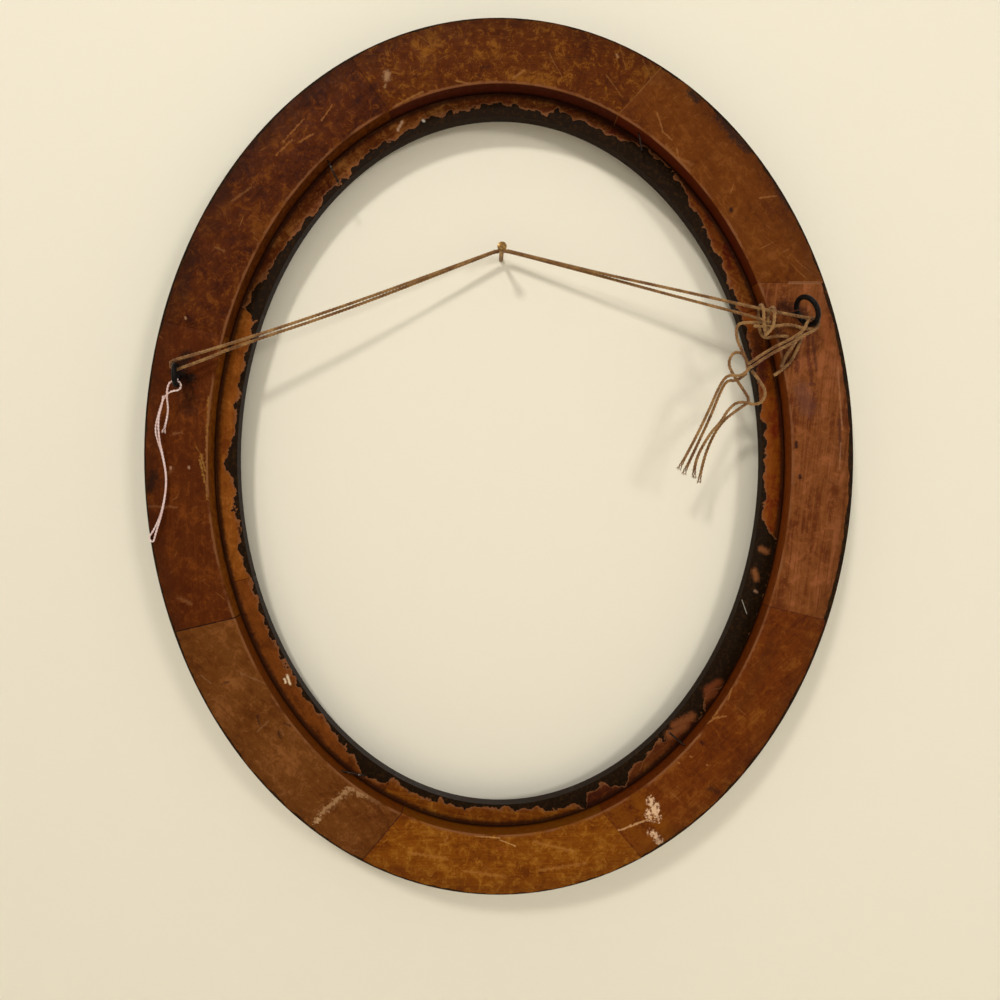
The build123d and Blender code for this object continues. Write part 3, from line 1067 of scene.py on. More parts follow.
@dataclass
class ScrewEye:
    """A screw eye: round wire bent to a ring that nearly closes, on a threaded shank."""

    name: str
    seat: Triple
    lean: float
    turn: float
    size: float
    reach: float
    wire: float = 3.0
    neck: float = 2.9
    thread: float = 3.2
    pitch: float = 0.6
    bite: float = 9.0
    taper: float = 2.5
    gap: float = 9.0
    corners: int = 20
    steps: int = 56

    def bend(self) -> bpy.types.Object:
        """Bend the wire to the eye's open ring.

        Returns:
            The ring, on the eye's own axes.
        """
        deselect()
        bpy.ops.mesh.primitive_circle_add(vertices=self.corners, radius=self.wire / 2 * MM,
                                          fill_type="NOTHING", location=(0, 0, 0))
        ring = bpy.context.object
        ring.name = self.name + "_wire"
        opening = math.radians(-90 + self.gap)
        centre = Vector((0, 0, self.reach * MM))
        out = Vector((math.cos(opening), 0, math.sin(opening)))
        place = centre + out * (self.size - self.wire) / 2 * MM
        level = Vector((0, 1, 0))
        turn = Matrix((out, level, out.cross(level))).transposed().to_4x4()
        ring.matrix_world = Matrix.Translation(place) @ turn
        settle()
        bpy.ops.object.mode_set(mode="EDIT")
        bpy.ops.mesh.select_all(action="SELECT")
        sweep = math.radians(360 - self.gap - 1)
        bpy.ops.mesh.spin(steps=self.steps, angle=sweep, center=centre, axis=(0, -1, 0))
        bpy.ops.mesh.select_all(action="SELECT")
        bpy.ops.mesh.fill_holes(sides=0)
        face_outwards()
        return ring

    def shank(self) -> bpy.types.Object:
        """Turn the shank, from its point over the thread to the neck.

        Returns:
            The shank, on the eye's own axes.
        """
        crest, neck, half = self.thread / 2, self.neck / 2, self.pitch / 2
        height = self.taper - self.bite
        stations = [(half, -self.bite), (crest - half, height)]
        while height < -half:
            stations += [(crest, height + half), (crest - half, height + self.pitch)]
            height += self.pitch
        top = self.reach - (self.size - self.wire) / 2
        stations += [(neck, self.pitch), (neck, top - 1.2), (neck + 0.1, top)]
        return turned(self.name + "_shank", tuple(stations), self.corners)

    def build(self, material: bpy.types.Material) -> bpy.types.Object:
        """Make the eye and screw it in.

        Args:
            material: the iron.

        Returns:
            The finished eye.
        """
        eye = join([self.bend(), self.shank()])
        eye.name = self.name + "_iron"
        lean, turn = math.radians(self.lean), math.radians(self.turn)
        shank_way = Vector((math.sin(lean), -math.cos(lean), 0))
        level = Vector((math.cos(lean), math.sin(lean), 0))
        upright = Vector((0, 0, 1)) * math.cos(turn) - level * math.sin(turn)
        put(eye, self.seat, upright, shank_way)
        bpy.ops.object.shade_smooth_by_angle(angle=math.radians(40))
        dress(eye, material, self.name, Body.FRAME)
        return eye


@dataclass
class Brads:
    """Four thin brads driven into the rabbet's wall: they held the glass and its backing."""

    rows: dict[str, Triple]
    thickness: float = 1.2
    depth: float = 5.0
    bite: float = 8.0

    def build(self, material: bpy.types.Material) -> bpy.types.Object:
        """Draw the brads and drive them in.

        Args:
            material: the steel.

        Returns:
            The four brads as one piece.
        """
        radius = self.thickness / 2
        made = []
        # From the point to the small head of each brad
        for name, (place, direction, free) in self.rows.items():
            stations = ((0.12, -self.bite), (radius, 1.5 - self.bite), (radius, free - 0.6),
                        (radius + 0.2, free - 0.4), (radius + 0.2, free - 0.1), (radius * 0.8, free))
            brad = turned("brad_" + name, stations, 12)
            spot = math.radians(place)
            foot = (HALF_WIDTH * math.cos(spot), BACK_FACE + self.depth, HALF_HEIGHT * math.sin(spot) - DROP)
            turn = math.radians(direction)
            put(brad, foot, Vector((0, 1, 0)), Vector((math.cos(turn), 0, math.sin(turn))))
            made.append(brad)
        brads = join(made)
        brads.name = "brad_wires"
        bpy.ops.object.shade_smooth_by_angle(angle=math.radians(40))
        dress(brads, material, "retaining_brads", Body.FRAME)
        return brads


@dataclass
class WallNail:
    """The round nail in the wall that the twine hangs on."""

    thickness: float = 2.8
    head_width: float = 5.7
    head_thickness: float = 1.1
    reach: float = 30.2
    bite: float = 24.0
    point: float = 4.0

    def build(self, material: bpy.types.Material) -> bpy.types.Object:
        """Draw the nail from its head to its point.

        Args:
            material: the steel.

        Returns:
            The nail.
        """
        radius, head = self.thickness / 2, self.head_width / 2
        stations = [(head * 0.82, 0.0), (head * 0.95, 0.12), (head, 0.35), (head, self.head_thickness - 0.2),
                    (head * 0.9, self.head_thickness), (radius * 1.15, self.head_thickness + 0.1),
                    (radius, self.head_thickness + 0.7)]
        # Four grip rings of the maker's die, below the head
        for height in (2.4, 3.2, 4.0, 4.8):
            stations += [(radius, height), (radius - 0.1, height + 0.2), (radius, height + 0.4)]
        length = self.reach + self.bite
        stations += [(radius, length - self.point), (0.28, length)]
        nail = turned("nail_shank_and_head", tuple(stations), 28)
        put(nail, (0, -self.reach, 0), Vector((1, 0, 0)), Vector((0, 1, 0)))
        bpy.ops.object.shade_smooth_by_angle(angle=math.radians(32))
        dress(nail, material, "wall_nail", Body.NAIL)
        return nail


@dataclass
class Studio:
    """A pale wall behind the frame, a pale floor below it, soft lamps and the camera."""

    floor_level: float = -0.52
    side: float = 5.0
    camera_place: Triple = (-0.01064, -0.4884, -0.13332)
    camera_rise: float = 90 - 2.46
    camera_turn: float = -1.171
    sensor: float = 36
    lens: float = 27.04
    even_light: float = 0.44

    def camera(self) -> None:
        """Stand the camera where the photograph was taken."""
        camera = bpy.data.objects.new("camera", bpy.data.cameras.new("camera"))
        camera.data.sensor_width = self.sensor
        camera.data.lens = self.lens
        camera.location = self.camera_place
        camera.rotation_euler = (math.radians(self.camera_rise), 0, math.radians(self.camera_turn))
        bpy.context.scene.collection.objects.link(camera)
        bpy.context.scene.camera = camera

    def surface(self, name: str, height: float, rise: float, paint: MattPaint) -> None:
        """Set up one square surface.

        Args:
            name: its name.
            height: the height of its middle, in metres.
            rise: how far it is tipped up, in degrees.
            paint: its finish.
        """
        deselect()
        turn = (math.radians(rise), 0, 0)
        bpy.ops.mesh.primitive_plane_add(size=self.side, location=(0, 0, height), rotation=turn)
        piece = bpy.context.object
        piece.name = name
        settle()
        piece.data.materials.append(paint.build())

    def lamp(self, name: str, place: Triple, size: float, power: float) -> None:
        """Hang a soft square lamp that looks at the frame.

        Args:
            name: the lamp's name.
            place: where it hangs, in metres.
            size: its side, in metres.
            power: its power, in watts.
        """
        data = bpy.data.lights.new(name, "AREA")
        data.size = size
        data.energy = power
        lamp = bpy.data.objects.new(name, data)
        lamp.location = place
        aim = Vector((0, 0, -DROP * MM)) - Vector(place)
        lamp.rotation_euler = aim.to_track_quat("-Z", "Y").to_euler()
        bpy.context.scene.collection.objects.link(lamp)

    def build(self) -> None:
        """Set up the whole studio."""
        self.camera()
        middle = self.floor_level + self.side / 2
        self.surface("pale_wall", middle, 90, MattPaint("matt_wall_paint", "efe6cf", see_through=True))
        self.surface("pale_floor", self.floor_level, 0, MattPaint("matt_floor_paint", "e9e4da"))
        self.lamp("key_lamp", (-0.55, -1.4, 0.95), size=0.22, power=12.0)
        self.lamp("fill_lamp", (0.95, -1.45, 0.2), size=0.32, power=6.6)
        self.lamp("front_lamp", (0.5, 1.5, 0.5), size=0.6, power=7.0)
        world = bpy.data.worlds.new("even_light")
        world.use_nodes = True
        light = world.node_tree.nodes["Background"]
        light.inputs["Color"].default_value = colour("ffffff")
        light.inputs["Strength"].default_value = self.even_light
        bpy.context.scene.world = world
        bpy.context.scene.view_settings.view_transform = "Standard"


# Each joint: its angle on the oval, and the way of the cut, in degrees
BACK_JOINTS = {
    "right": (-21.4, -13.6),
    "upper_right": (26.8, 0.0),
    "top": (65.2, 47.3),
    "upper_left": (113.5, 126.0),
    "left": (160.4, 167.0),
    "lower_left": (202.8, 193.2),
    "bottom": (247.7, 230.0),
    "lower_right": (292.3, 310.0),
}
FRONT_JOINTS = {
    "right": (-28.0, -20.0),
    "upper_right": (24.8, 14.0),
    "top": (62.5, 54.0),
    "upper_left": (106.3, 114.0),
    "left": (155.0, 162.0),
    "lower_left": (198.1, 194.0),
    "bottom": (244.1, 236.0),
    "lower_right": (288.0, 298.0),
}
# Each brad: its angle on the oval, the way that it points in degrees, and its free length
BRAD_ROWS = {
    "upper_left": (126.2, -63.3, 14.4),
    "upper_right": (62.2, -79.4, 10.5),
    "lower_left": (235.9, -12.6, 15.0),
    "lower_right": (310.2, 139.8, 12.5),
}

# The width of the black band along the sight edge, by the angle of the place on the oval
PAINT_WIDTHS = (
    (0, 1.6), (6, 2.2), (12, 1.6), (27, 1.8), (30, 2.6), (38, 3.6), (43, 5.8), (48, 8.2), (50, 11), (58, 13),
    (61, 13), (62, 8.8), (67, 6.4), (71, 5.6), (72.5, 10), (74, 4.6), (76, 5.6), (78, 10.5), (80, 5),
    (83, 4.2), (86, 5.8), (92, 7.2), (98, 5.4), (103, 6.6), (108, 5), (112, 3.4), (119, 4.4), (125, 1.9),
    (130, 3), (133, 2.2), (137, 3.6), (144, 4.6), (147, 7.5), (151, 9), (154.6, 11.5), (155.2, 3.2),
    (160, 2), (170, 2.3), (175.5, 1.9), (178, 5.2), (180, 8.2), (181.6, 4.2), (183, 2.3), (187, 2.8),
    (190, 1.8), (194.5, 4.2), (197, 2.4), (206, 1.5), (228, 1.6), (232, 3), (237, 6.2), (240, 9.4),
    (243.8, 9.4), (244.4, 3.4), (248, 3.2), (252, 5.4), (256, 2.6), (261, 4.4), (266, 1.9), (271, 3.2),
    (277, 4.6), (281, 7), (285, 8.6), (287.6, 13.6), (289, 5), (293, 4.2), (295, 9), (297, 13.6), (299, 5.6),
    (302, 4.4), (309, 3.4), (314, 5.2), (315.2, 13.6), (317.4, 13.6), (318.4, 8), (321, 8.4), (322.4, 14.5),
    (346.8, 14.5), (349.4, 11), (350.6, 3.4), (352, 2), (355, 2.4), (360, 1.6),
)

# Sections from the rabbet's wall outwards, by reach and depth
BACK_SECTION = [
    (0.0, LEDGE_FACE),
    (RING_WIDTH, LEDGE_FACE),
    *bent((RING_WIDTH, BACK_FACE + 1.5), (38.06, BACK_FACE + 0.44), (37.0, BACK_FACE), count=4),
    (RING_WIDTH - 1.5, BACK_FACE),
    *bent((0.5, BACK_FACE), (0.146, BACK_FACE + 0.146), (0.0, BACK_FACE + 0.5), count=3),
    (0.0, BACK_FACE + 0.5),
]
FRONT_SECTION = [
    (-LEDGE_WIDTH, LEDGE_FACE),
    *bent((-LEDGE_WIDTH, -12.0), (-11.0, -7.5), (-6.0, -8.5), count=8),
    *bent((-6.0, -8.5), (6.25, -7.3), (18.5, -3.5), count=8),
    *bent((18.5, -3.5), (28.5, -1.0), (RING_WIDTH, -3.5), count=10),
    (RING_WIDTH, -3.5),
    (RING_WIDTH, LEDGE_FACE),
]

# Routes of the cords, by points in millimetres from the nail
HELD_TWINE = {
    "hanging_twine": (
        (150.5, -38.2, -48.6), (160, -38.6, -49.3), (171, -40.2, -47.6), (180, -41.2, -50.9),
        (186.4, -41.2, -50.9), (186.4, -41.2, -45.2), (180.9, -40.5, -44), (156.3, -37.5, -38.7),
        (109.1, -29.8, -26.1), (62.5, -21.9, -14.2), (11.2, -13.6, 0.4), (-0.2, -11.8, 3.5),
        (-11.2, -13.4, -0.9), (-90.8, -25.8, -33.6), (-160.3, -36.3, -59.6), (-189.7, -41, -69.5),
        (-195.1, -41.8, -71.3), (-193.2, -41.8, -76.7), (-187.9, -40.9, -74.5), (-173.8, -38.4, -68.7),
        (-160.3, -35.8, -62), (-90.8, -24.6, -36), (-11.2, -11, -0.9), (-0.2, -9.4, 3.5), (11.2, -11, 0.4),
        (62.5, -19, -15), (109.2, -27.2, -29.6), (141.7, -34.4, -39.8), (157.5, -38, -45.2),
    ),
    "twine_wrap": (
        (172, -36.8, -54.6), (166.2, -36, -53.6), (156, -33.4, -56), (154.4, -33.2, -36),
        (154.9, -41.4, -35.8), (155.4, -41.8, -52.2), (160.4, -33.6, -52.9), (160.8, -33.2, -37.6),
        (161.5, -42.2, -37.4), (161.2, -42.4, -46.5), (160.3, -41.8, -51.2), (156, -40.8, -55.2),
    ),
    "sling_twine": (
        (146.5, -40.6, -71.6), (158.5, -41.6, -63), (171, -42.8, -57.2), (178.3, -43.6, -52.4),
        (181.2, -43.8, -44.9), (187.1, -43.8, -44.9), (187.1, -43.8, -50.8), (178, -43.4, -55.2),
        (171.5, -42.8, -59.8), (159.5, -41.6, -65.4), (147.6, -40.6, -74),
    ),
    "twine_bight": (
        (161.5, -35.9, -45.8), (150.4, -36, -46), (140.6, -36.2, -46.6), (140.6, -36.4, -56),
        (145.6, -36.2, -65.4), (148.4, -36, -71.4),
    ),
    "wood_loop": (
        (165.5, -32.3, -77.2), (173.8, -32.3, -71.6), (179, -32.5, -62.5), (182.2, -33.6, -52.2),
        (179, -37.1, -52.4), (176, -34.9, -59.5), (171.8, -32.8, -66), (169.6, -32.3, -72.5),
    ),
}
TWINE_TAILS = {
    "twine_tail_1": (
        (147.5, -43, -73), (143, -42.2, -79.6), (134.5, -40.4, -77.4), (129.8, -39.4, -84.5),
        (124.2, -38.6, -98.4), (115.4, -37.9, -117.3), (106, -37.4, -134.8),
    ),
    "twine_tail_2": (
        (145.8, -40.3, -77), (140.5, -39.6, -81.8), (134.8, -38.1, -80.6), (131, -37, -88),
        (125.9, -35.8, -102.2), (117.5, -35.2, -120.7), (109.6, -34.8, -137.9),
    ),
    "twine_tail_3": (
        (149.4, -38.2, -75), (154, -37.8, -80.2), (159.4, -37.2, -88.5), (155, -36.6, -96.2),
        (142.5, -36.2, -92.8), (136, -36.6, -98.5), (132, -37, -105.5), (124.3, -37.6, -113.5),
        (115, -38.6, -130.6), (115.3, -38.8, -139.9),
    ),
    "twine_tail_4": (
        (148.8, -33.4, -74), (148, -33.4, -65.5), (140.6, -33.6, -62.4), (136.2, -33.8, -70),
        (140.6, -34, -78.4), (146.3, -34, -86.4), (150.6, -34, -93.2), (143.5, -34, -97.6),
        (133.4, -34.2, -105.2), (127, -34, -115.7), (122.1, -33, -129.8), (119.8, -32.6, -143.4),
    ),
}
THREADS = {
    "white_thread": (
        (-193.4, -42.4, -82.4), (-188.6, -42, -82.2), (-188.6, -42, -87.8), (-194.8, -41.8, -88.4),
        (-200.4, -37.6, -91.4), (-204.6, -34.8, -99.6), (-208, -33.4, -110.4), (-206.2, -33, -118.4),
        (-203.6, -32.9, -127), (-201.4, -32.9, -141), (-204.6, -32.9, -159.4), (-210, -32.9, -171.2),
        (-213.4, -33, -175.4), (-210.2, -33.6, -179), (-208.2, -34.2, -172.2), (-203.8, -34.2, -159.2),
        (-200.9, -34.2, -141), (-202.9, -34.3, -126.6), (-204.8, -35.4, -116), (-204.6, -36.6, -104),
        (-200.9, -38.6, -95.1), (-199.6, -40.6, -90.8),
    ),
    "short_thread": (
        (-189.4, -43.6, -81.8), (-194.2, -43.6, -82.6), (-196.2, -43.2, -87.2), (-197.6, -40.4, -92.8),
        (-198.4, -36.6, -98.4), (-200.8, -34, -106), (-203.2, -33.4, -113.2),
    ),
}


@dataclass
class Hanging:
    """All the twine at the right eye, over the nail and at the left eye, and the white thread."""

    def build(self) -> list[bpy.types.Object]:
        """Lay every cord.

        Returns:
            The cords.
        """
        jute = TwistedFibre("jute_twine", "3d220b", "75491d", "a77c44", fibre=0.4, fuzz=0.25).build()
        cotton = TwistedFibre("cotton_thread", "cfa093", "e8c4b8", "f4dcd2", fibre=0.3, fuzz=0.3).build()
        twine = partial(Cord, thickness=2.0, plies=3, lay_length=6.5, material_slot="twine")
        thread = partial(Cord, thickness=1.2, plies=2, lay_length=4.0, material_slot="thread")
        cords = []
        for name, route in HELD_TWINE.items():
            lay = Lay.TAUT if name == "hanging_twine" else Lay.LOOSE
            cords.append(twine(name, route, far_end=FarEnd.OBJECT, lay=lay).build(jute))
        for name, route in TWINE_TAILS.items():
            cord = twine(name, route, far_end=FarEnd.BARE, lay=Lay.HANGING, loose_end=True)
            cords.append(cord.build(jute))
        for name, route in THREADS.items():
            loose = name == "short_thread"
            cord = thread(name, route, far_end=FarEnd.BARE, lay=Lay.HANGING, loose_end=loose)
            cords.append(cord.build(cotton))
        return cords


# The lines of the back's glue joints
FAINT = Seam(SOOT, 0.3, 0.25)
DARK = Seam("1a0903", 0.9, 0.55)
FINE = Seam(SOOT, 0.75, 0.3)
PALE = Seam("8a5a2e", 0.4, 0.5)
BACK_SEAMS = {
    "right": Seam("40160a", 0.7, 0.35), "upper_right": FAINT, "top": PALE, "upper_left": FINE,
    "left": FAINT, "lower_left": DARK, "bottom": Seam("35120a", 0.85, 0.45), "lower_right": FAINT,
}

# Strokes on the back: the way they run on the real frame, in millimetres from the nail
BACK_MARKS = {
    "right": (
        Marks("200a05", 2.6, 0.9, 0.4, ((182.9, -138.3, 182.9, -139.6), (180.1, -118.1, 180.3, -120.5))),
        # Stain with painted shadow behind the knot
        Marks("2b0f06", 12, 0.75, 0.9, ((166, -50, 172, -68),)),
        # Stain with painted shadow of the right screw eye
        Marks("2a0f08", 9, 0.8, 0.8, ((171, -35.5, 181, -39), (181, -39, 186.5, -48))),
        Marks("4a1d0c", 3, 0.7, 1.3, ((186, -54, 189, -82), (179, -56, 180, -74))),
        Marks("8c4a22", 5, 0.45, 0.9, ((196, -42, 199.5, -60),)),
        Marks("55342c", 12, 0.5, 0.8, ((183, -86, 187, -97),)),
        Marks("3d1c14", 2, 0.6, 0.8, ((189, -54, 192, -74), (206.5, -104, 208, -126))),
        Marks("a06a44", 1.1, 0.6, 0.9, ((205, -72, 208.6, -110), (207.9, -118, 207.3, -134))),
        Marks("94633f", 0.9, 0.7, 0.5, ((174, -21.6, 194.3, -21.5),)),
    ),
    "upper_right": (
        Marks("94633f", 0.9, 0.7, 0.5, ((174, -20.8, 194.3, -20.7),)),
        Marks("1a0d08", 2.4, 0.85, 0.5, ((138.1, 22.7, 138.4, 21.4),)),
        Marks("231914", 6, 0.85, 1, (
            (130.5, 77, 139, 66.5), (139, 66, 147.5, 59), (165.2, 38.9, 174, 25.4), (113, 91, 117, 87.5),
        )),
        Marks("8f5b2c", 1, 0.6, 1.3, (
            (93, 78.6, 96.4, 68), (96.4, 68, 101.9, 63.2), (155.6, 29.4, 165.9, 30.6), (104, 51, 112, 44.5),
            (105, 57.5, 107, 47),
        )),
        Marks("825024", 2.4, 0.6, 1, ((98.5, 60, 118, 36.5), (107, 52, 114, 49))),
    ),
    "top": (
        Marks("9c7450", 4.4, 0.85, 0.8, ((-68.4, 100.1, -68.6, 98),)),
        Marks("99714a", 1.6, 0.7, 0.8, ((-69.2, 94.2, -69.6, 92.6), (68.4, 112.6, 68.8, 111.6))),
        Marks("2c1006", 1.8, 0.6, 1.2, ((-14.4, 100.1, -13, 99.7), (-12, 104.5, -8, 104.9))),
        Marks("8d5c2c", 1.3, 0.75, 0.9, (
            (-27, 96.6, -15, 93.7), (-63, 82, -47.5, 90), (7, 99, 13, 103), (40, 84, 62, 79),
        )),
        Marks("845426", 0.8, 0.5, 1.2, (
            (62, 101, 72, 88), (84, 110, 90, 97), (28, 113, 36, 99), (70, 119, 74, 104),
        )),
    ),
    "upper_left": (
        Marks("8a5527", 1, 0.75, 1.6, (
            (-117.1, 74.1, -130.3, 60), (-101.1, 81.8, -107.1, 73), (-112.5, 64.8, -121.4, 59.5),
            (-134.5, 52.3, -125, 61.2),
        )),
        Marks("7a4a22", 0.8, 0.6, 0.9, (
            (-77.9, 101.2, -76.6, 94), (-76.6, 94, -74.4, 89.6), (-132, 2, -138.5, -11),
            (-131, 26, -128, 21),
        )),
        Marks("7a4c25", 1.6, 0.6, 0.9, ((-171, -2, -166, -4), (-161, 25, -150, 33), (-142, -22, -151, -50))),
        Marks("9c7350", 1.4, 0.85, 0.3, ((-189.6, -43.4, -189.4, -44.2),)),
        Marks("190c05", 3.4, 0.8, 1, ((-150.5, 56, -146, 60), (-178, 20, -186, 4), (-161, 44, -167, 36))),
        Marks("231006", 7, 0.5, 1.1, ((-138, -14, -136, -22), (-186, -8, -190.5, -30))),
    ),
    "left": (
        Marks("94672c", 1.4, 0.7, 1.7, (
            (-176.4, -90.9, -178, -116.7), (-178, -116.7, -178.3, -134.7), (-178.3, -134.7, -178.6, -152.9),
            (-182.4, -128.7, -179, -143.8), (-179.5, -134.7, -181.7, -125.7),
        )),
        Marks("84531f", 0.9, 0.6, 1.2, (
            (-185, -120, -180, -128), (-175.5, -164, -171, -186), (-171, -186, -162, -214),
        )),
        Marks("7c4d2a", 1.8, 0.6, 0.9, ((-214, -156.5, -197.2, -157.1), (-198, -113, -193, -112))),
        Marks("80502a", 2.4, 0.5, 1.2, ((-197, -212, -189, -216), (-203, -138, -199, -134))),
        Marks("a5795c", 1.6, 0.8, 0.4, (
            (-199.8, -132.9, -200, -133.8), (-189, -132.9, -189, -133.6), (-210.9, -189, -210.6, -191),
        )),
        Marks("2a1206", 12, 0.6, 1, ((-190.5, -82, -188.5, -97),)),
        # Stain with painted shadow of the left screw eye
        Marks("150b06", 9, 0.95, 0.6, ((-195, -76, -188, -79.5),)),
        Marks("1b0d06", 7, 0.85, 0.8, ((-210.5, -138, -213, -146), (-189, -66, -192, -72))),
    ),
    "lower_left": (
        Marks("b98f62", 2.6, 0.85, 2.2, (
            (-93.9, -330.9, -102.5, -338.4), (-102.5, -338.4, -111.2, -345.8),
            (-111.2, -345.8, -115, -352.1), (-92.6, -332.2, -84.5, -336),
        )),
        Marks("7c5431", 4.6, 0.6, 1.8, ((-93, -331.5, -112, -346.5), (-92.6, -332.2, -76.7, -338.6))),
        Marks("2d180c", 1.4, 0.7, 1.6, (
            (-171.3, -265.5, -167.6, -264.3), (-137.6, -294.9, -135.8, -299.3), (-150, -285.5, -149, -290.5),
            (-134, -290, -130.5, -291.5),
        )),
        Marks("7d5636", 1, 0.5, 1.6, (
            (-160, -259, -143, -266), (-184, -260, -178, -265), (-135.5, -294, -134.5, -297),
            (-150, -295, -143, -288), (-143, -267, -130, -287), (-121, -300, -112, -308),
        )),
    ),
    "bottom": (
        Marks("c08f50", 0.9, 0.7, 1, (
            (-16.8, -361.9, -1.2, -363.3), (-1.2, -364.6, 8.1, -368.5), (14, -352, 30, -349),
            (-30, -352, -12, -355),
        )),
        Marks("8a3c1c", 1.8, 0.35, 1, ((-2, -369.5, 2, -371),)),
        Marks("a36a2c", 2.2, 0.5, 1.3, (
            (-58, -372, -34, -376), (20, -366, 44, -372), (24, -384, 52, -380), (-24, -384, 2, -388),
        )),
    ),
    "lower_right": (
        Marks("784003", 13, 0.65, 1.1, ((68, -343, 92, -372), (83, -338, 105, -363))),
        Marks("dcb48c", 3.4, 0.92, 2, (
            (92.2, -340.1, 95.4, -347.8), (91.1, -347.7, 92.3, -351.5), (95.6, -344, 96.6, -351.8),
            (93.7, -360.5, 98.7, -366.9),
        )),
        Marks("c2925f", 1.2, 0.8, 1.4, ((67.4, -361.3, 88, -353.6), (88, -353.6, 94.5, -350.5))),
        Marks("2a1409", 3.4, 0.6, 1.2, (
            (129.1, -332.8, 134.8, -335.4), (101, -369, 107, -364.5), (107, -364.5, 115, -357.5),
        )),
        Marks("2a0d06", 2.2, 0.8, 0.6, ((123.8, -303.7, 124.6, -304.6),)),
        Marks("9a6430", 1.1, 0.7, 1.6, (
            (142.7, -268.5, 140.3, -277.3), (132.3, -288.6, 123, -294.8), (123.1, -299.2, 116.9, -305.5),
            (137, -279.5, 132, -287), (139.5, -287.5, 131, -288.6), (112, -310.5, 101, -320.5),
        )),
        Marks("9a6430", 1.1, 0.75, 0.4, (
            (117, -312.6, 117.8, -313), (109.5, -316.5, 110.4, -317), (127.5, -318, 128, -318.5),
        )),
        Marks("4c2204", 9, 0.5, 1.2, ((158, -262, 149, -281), (166, -244, 160, -258))),
    ),
}
# Bare places in the black of the ledge, black that ran over its bare wood, and a stain with painted shadow
# under the knot
LEDGE_ISLANDS = {
    "right": (
        Marks("7a4824", 4.2, 1, 0.5, ((164.3, -184.6, 167.8, -186.4), (160.2, -198.6, 161.6, -203.6))),
        Marks("8d6a50", 2, 0.9, 0.5, ((160.8, -211.4, 162, -212.2),)),
        Marks("a8a290", 0.55, 0.8, 0.5, ((152.6, -217.2, 155.8, -226), (147.6, -221, 150, -219))),
    ),
    "lower_right": (
        Marks("6a3416", 5.6, 1, 0.5, ((131, -274.6, 138.6, -270), (131.6, -278.4, 136, -277))),
        Marks("74401e", 6.4, 1, 0.5, ((110.5, -297.5, 121.5, -292), (107, -304, 117, -298))),
    ),
    "lower_left": (
        Marks("e2c69c", 1.6, 0.95, 0.9, ((-135.1, -263.8, -133.3, -269.5), (-136.8, -266, -136, -268.4))),
    ),
    "upper_left": (
        Marks("c79c78", 1.7, 0.9, 0.7, ((-63.6, 73.3, -61.1, 78.1),)),
        Marks("d8c8b4", 1.7, 0.9, 0.2, ((-48.2, 79.2, -47.6, 78.8),)),
    ),
}
LEDGE_SPILLS_AND_SHADOW = {
    "right": (
        # Stain with painted shadow under the knot
        Marks("2c0f06", 10, 0.75, 0.9, ((159, -50, 163.5, -76),)),
    ),
    "left": (
        Marks("1a0d06", 2.4, 0.9, 0.5, ((-163.6, -171, -163, -174),)),
    ),
    "bottom": (
        Marks("1a0d06", 3, 0.8, 0.9, ((-99.5, -321.5, -96, -324.5), (-90, -326, -84, -329))),
    ),
}


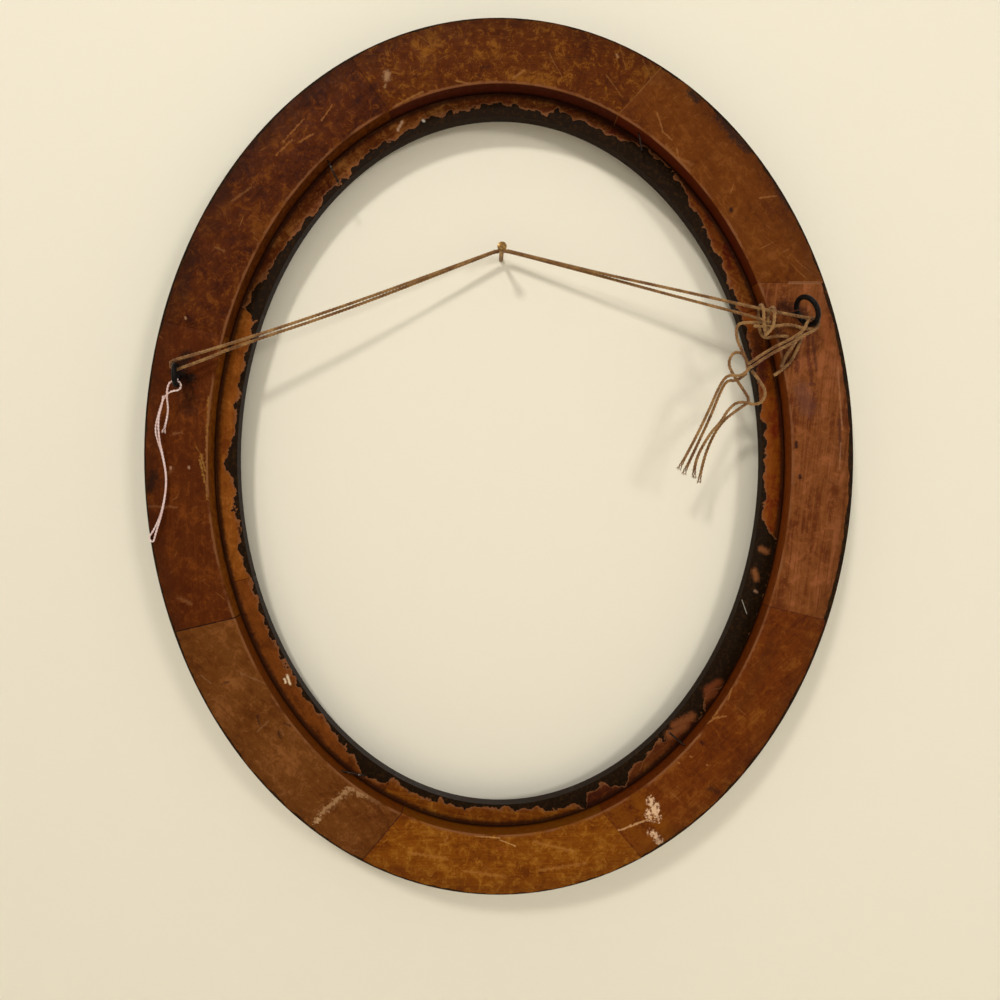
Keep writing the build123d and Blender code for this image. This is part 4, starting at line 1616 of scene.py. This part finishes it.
@dataclass
class Frame:
    """The wooden frame with its screw eyes and brads."""

    def back_woods(self) -> dict[str, Wood]:
        """Give the wood of each piece of the back ring."""
        # Way of the grain, three tones, the wall's tone with its painted shade, then streaks, scratches, rim
        # and shade
        looks = {
            "right": (84, "592809", "723e17", "8a4e29", "672e06", 0.9, 0.3, 3.0, 0.25),
            "upper_right": (-52, "4e2102", "602e04", "733f12", "4c1603", 0.35, 0.5, 1.7, 0.35),
            "top": (-3, "3a1500", "532300", "7e4a10", "43180a", 0.3, 0.6, 1.2, 0.35),
            "upper_left": (45, "2f0e01", "4a1d01", "6c3809", "552701", 0.3, 0.6, 1.7, 0.6),
            "left": (91, "461900", "4f2001", "6c340a", "703c09", 0.45, 0.5, 1.5, 0.4),
            "lower_left": (-43, "512605", "63360e", "7d4a20", "5f2c02", 0.35, 0.3, 1.6, 0.15),
            "bottom": (1, "5e2a01", "773d02", "965e18", "633503", 0.5, 0.7, 1.3, 0.2),
            "lower_right": (42, "4d1d01", "612a02", "7a420f", "5d2702", 0.5, 0.3, 1.8, 0.3),
        }
        woods = {}
        names = list(looks)
        for i, (name, look) in enumerate(looks.items()):
            turn, dark, middle, light, wall, streaks, scratched, rim, shade = look
            following = names[(i + 1) % len(names)]
            woods[name] = BackWood(
                f"aged_poplar_{name}", turn, dark, middle, light, 0.37 * i, streaks, scratched,
                BACK_MARKS[name], BACK_SEAMS[name], BACK_SEAMS[following], wall, rim, shade
            )
        return woods

    def front_woods(self) -> dict[str, Wood]:
        """Give the wood of each piece of the front ring."""
        # Way of the grain and three tones of each ledge; the upper pieces are darker partly by painted
        # shadow of the rabbet's wall
        looks = {
            "right": (77, "651e03", "7a3c03", "884510"),
            "upper_right": (-32, "501502", "6a3205", "8b5720"),
            "top": (10, "421102", "4e2303", "805020"),
            "upper_left": (40, "401401", "5b2a06", "8c5524"),
            "left": (88, "632c03", "7e420b", "99581e"),
            "lower_left": (-62, "512404", "6e370a", "804112"),
            "bottom": (-8, "602b02", "703803", "945b18"),
            "lower_right": (35, "3e1504", "562607", "6a3a12"),
        }
        return {
            name: PaintedWood(f"lacquered_poplar_{name}", turn, dark, middle, light, 0.53 * i, 0.5, 0.3,
                              islands=LEDGE_ISLANDS.get(name, ()), spills_and_shadow=LEDGE_SPILLS_AND_SHADOW.get(name, ()))
            for i, (name, (turn, dark, middle, light)) in enumerate(looks.items())
        }

    def build(self) -> list[bpy.types.Object]:
        """Glue up the rings and drive in the metal.

        Returns:
            The pieces.
        """
        back = GluedRing("back", BACK_SECTION, BACK_JOINTS, inner=0.0, groove=0.14)
        front = GluedRing("front", FRONT_SECTION, FRONT_JOINTS, inner=-LEDGE_WIDTH, groove=0.12,
                          paint_widths=PAINT_WIDTHS)
        pieces = back.build(self.back_woods(), {name: f"back_wood_{name}" for name in BACK_JOINTS})
        pieces += front.build(self.front_woods(), {name: "front_wood" for name in FRONT_JOINTS})
        iron = AgedMetal("blackened_iron", "14100e", "3a332d", "3b1f10", roughness=0.42, worn=0.6).build()
        left = ScrewEye("left_screw_eye", (-193.7, BACK_FACE, -79.0), lean=12.0, turn=0.0, size=15.0,
                        reach=11.25)
        right = ScrewEye("right_screw_eye", (177.2, BACK_FACE, -40.4), lean=15.0, turn=26.0, size=20.0,
                         reach=12.5)
        pieces += [left.build(iron), right.build(iron)]
        steel = AgedMetal("browned_steel", "2a1d14", "8d857a", "4a2814", roughness=0.38, worn=0.58).build()
        pieces.append(Brads(BRAD_ROWS).build(steel))
        return pieces


def main() -> None:
    """Build the studio, the cords, the frame and the nail, in this order."""
    logging.basicConfig(level=logging.INFO, format="%(message)s")
    Studio().build()
    Hanging().build()
    Frame().build()
    # The nail is steel; its brass colour is painted reflection of warm surroundings
    reflection_tinted_steel = AgedMetal("brassed_steel", "7c5a2c", "b9935a", "4a2a12", roughness=0.34, worn=0.5).build()
    WallNail().build(reflection_tinted_steel)
    for material in bpy.data.materials:
        log.info("material %s", material.name)


if __name__ == "__main__":
    main()
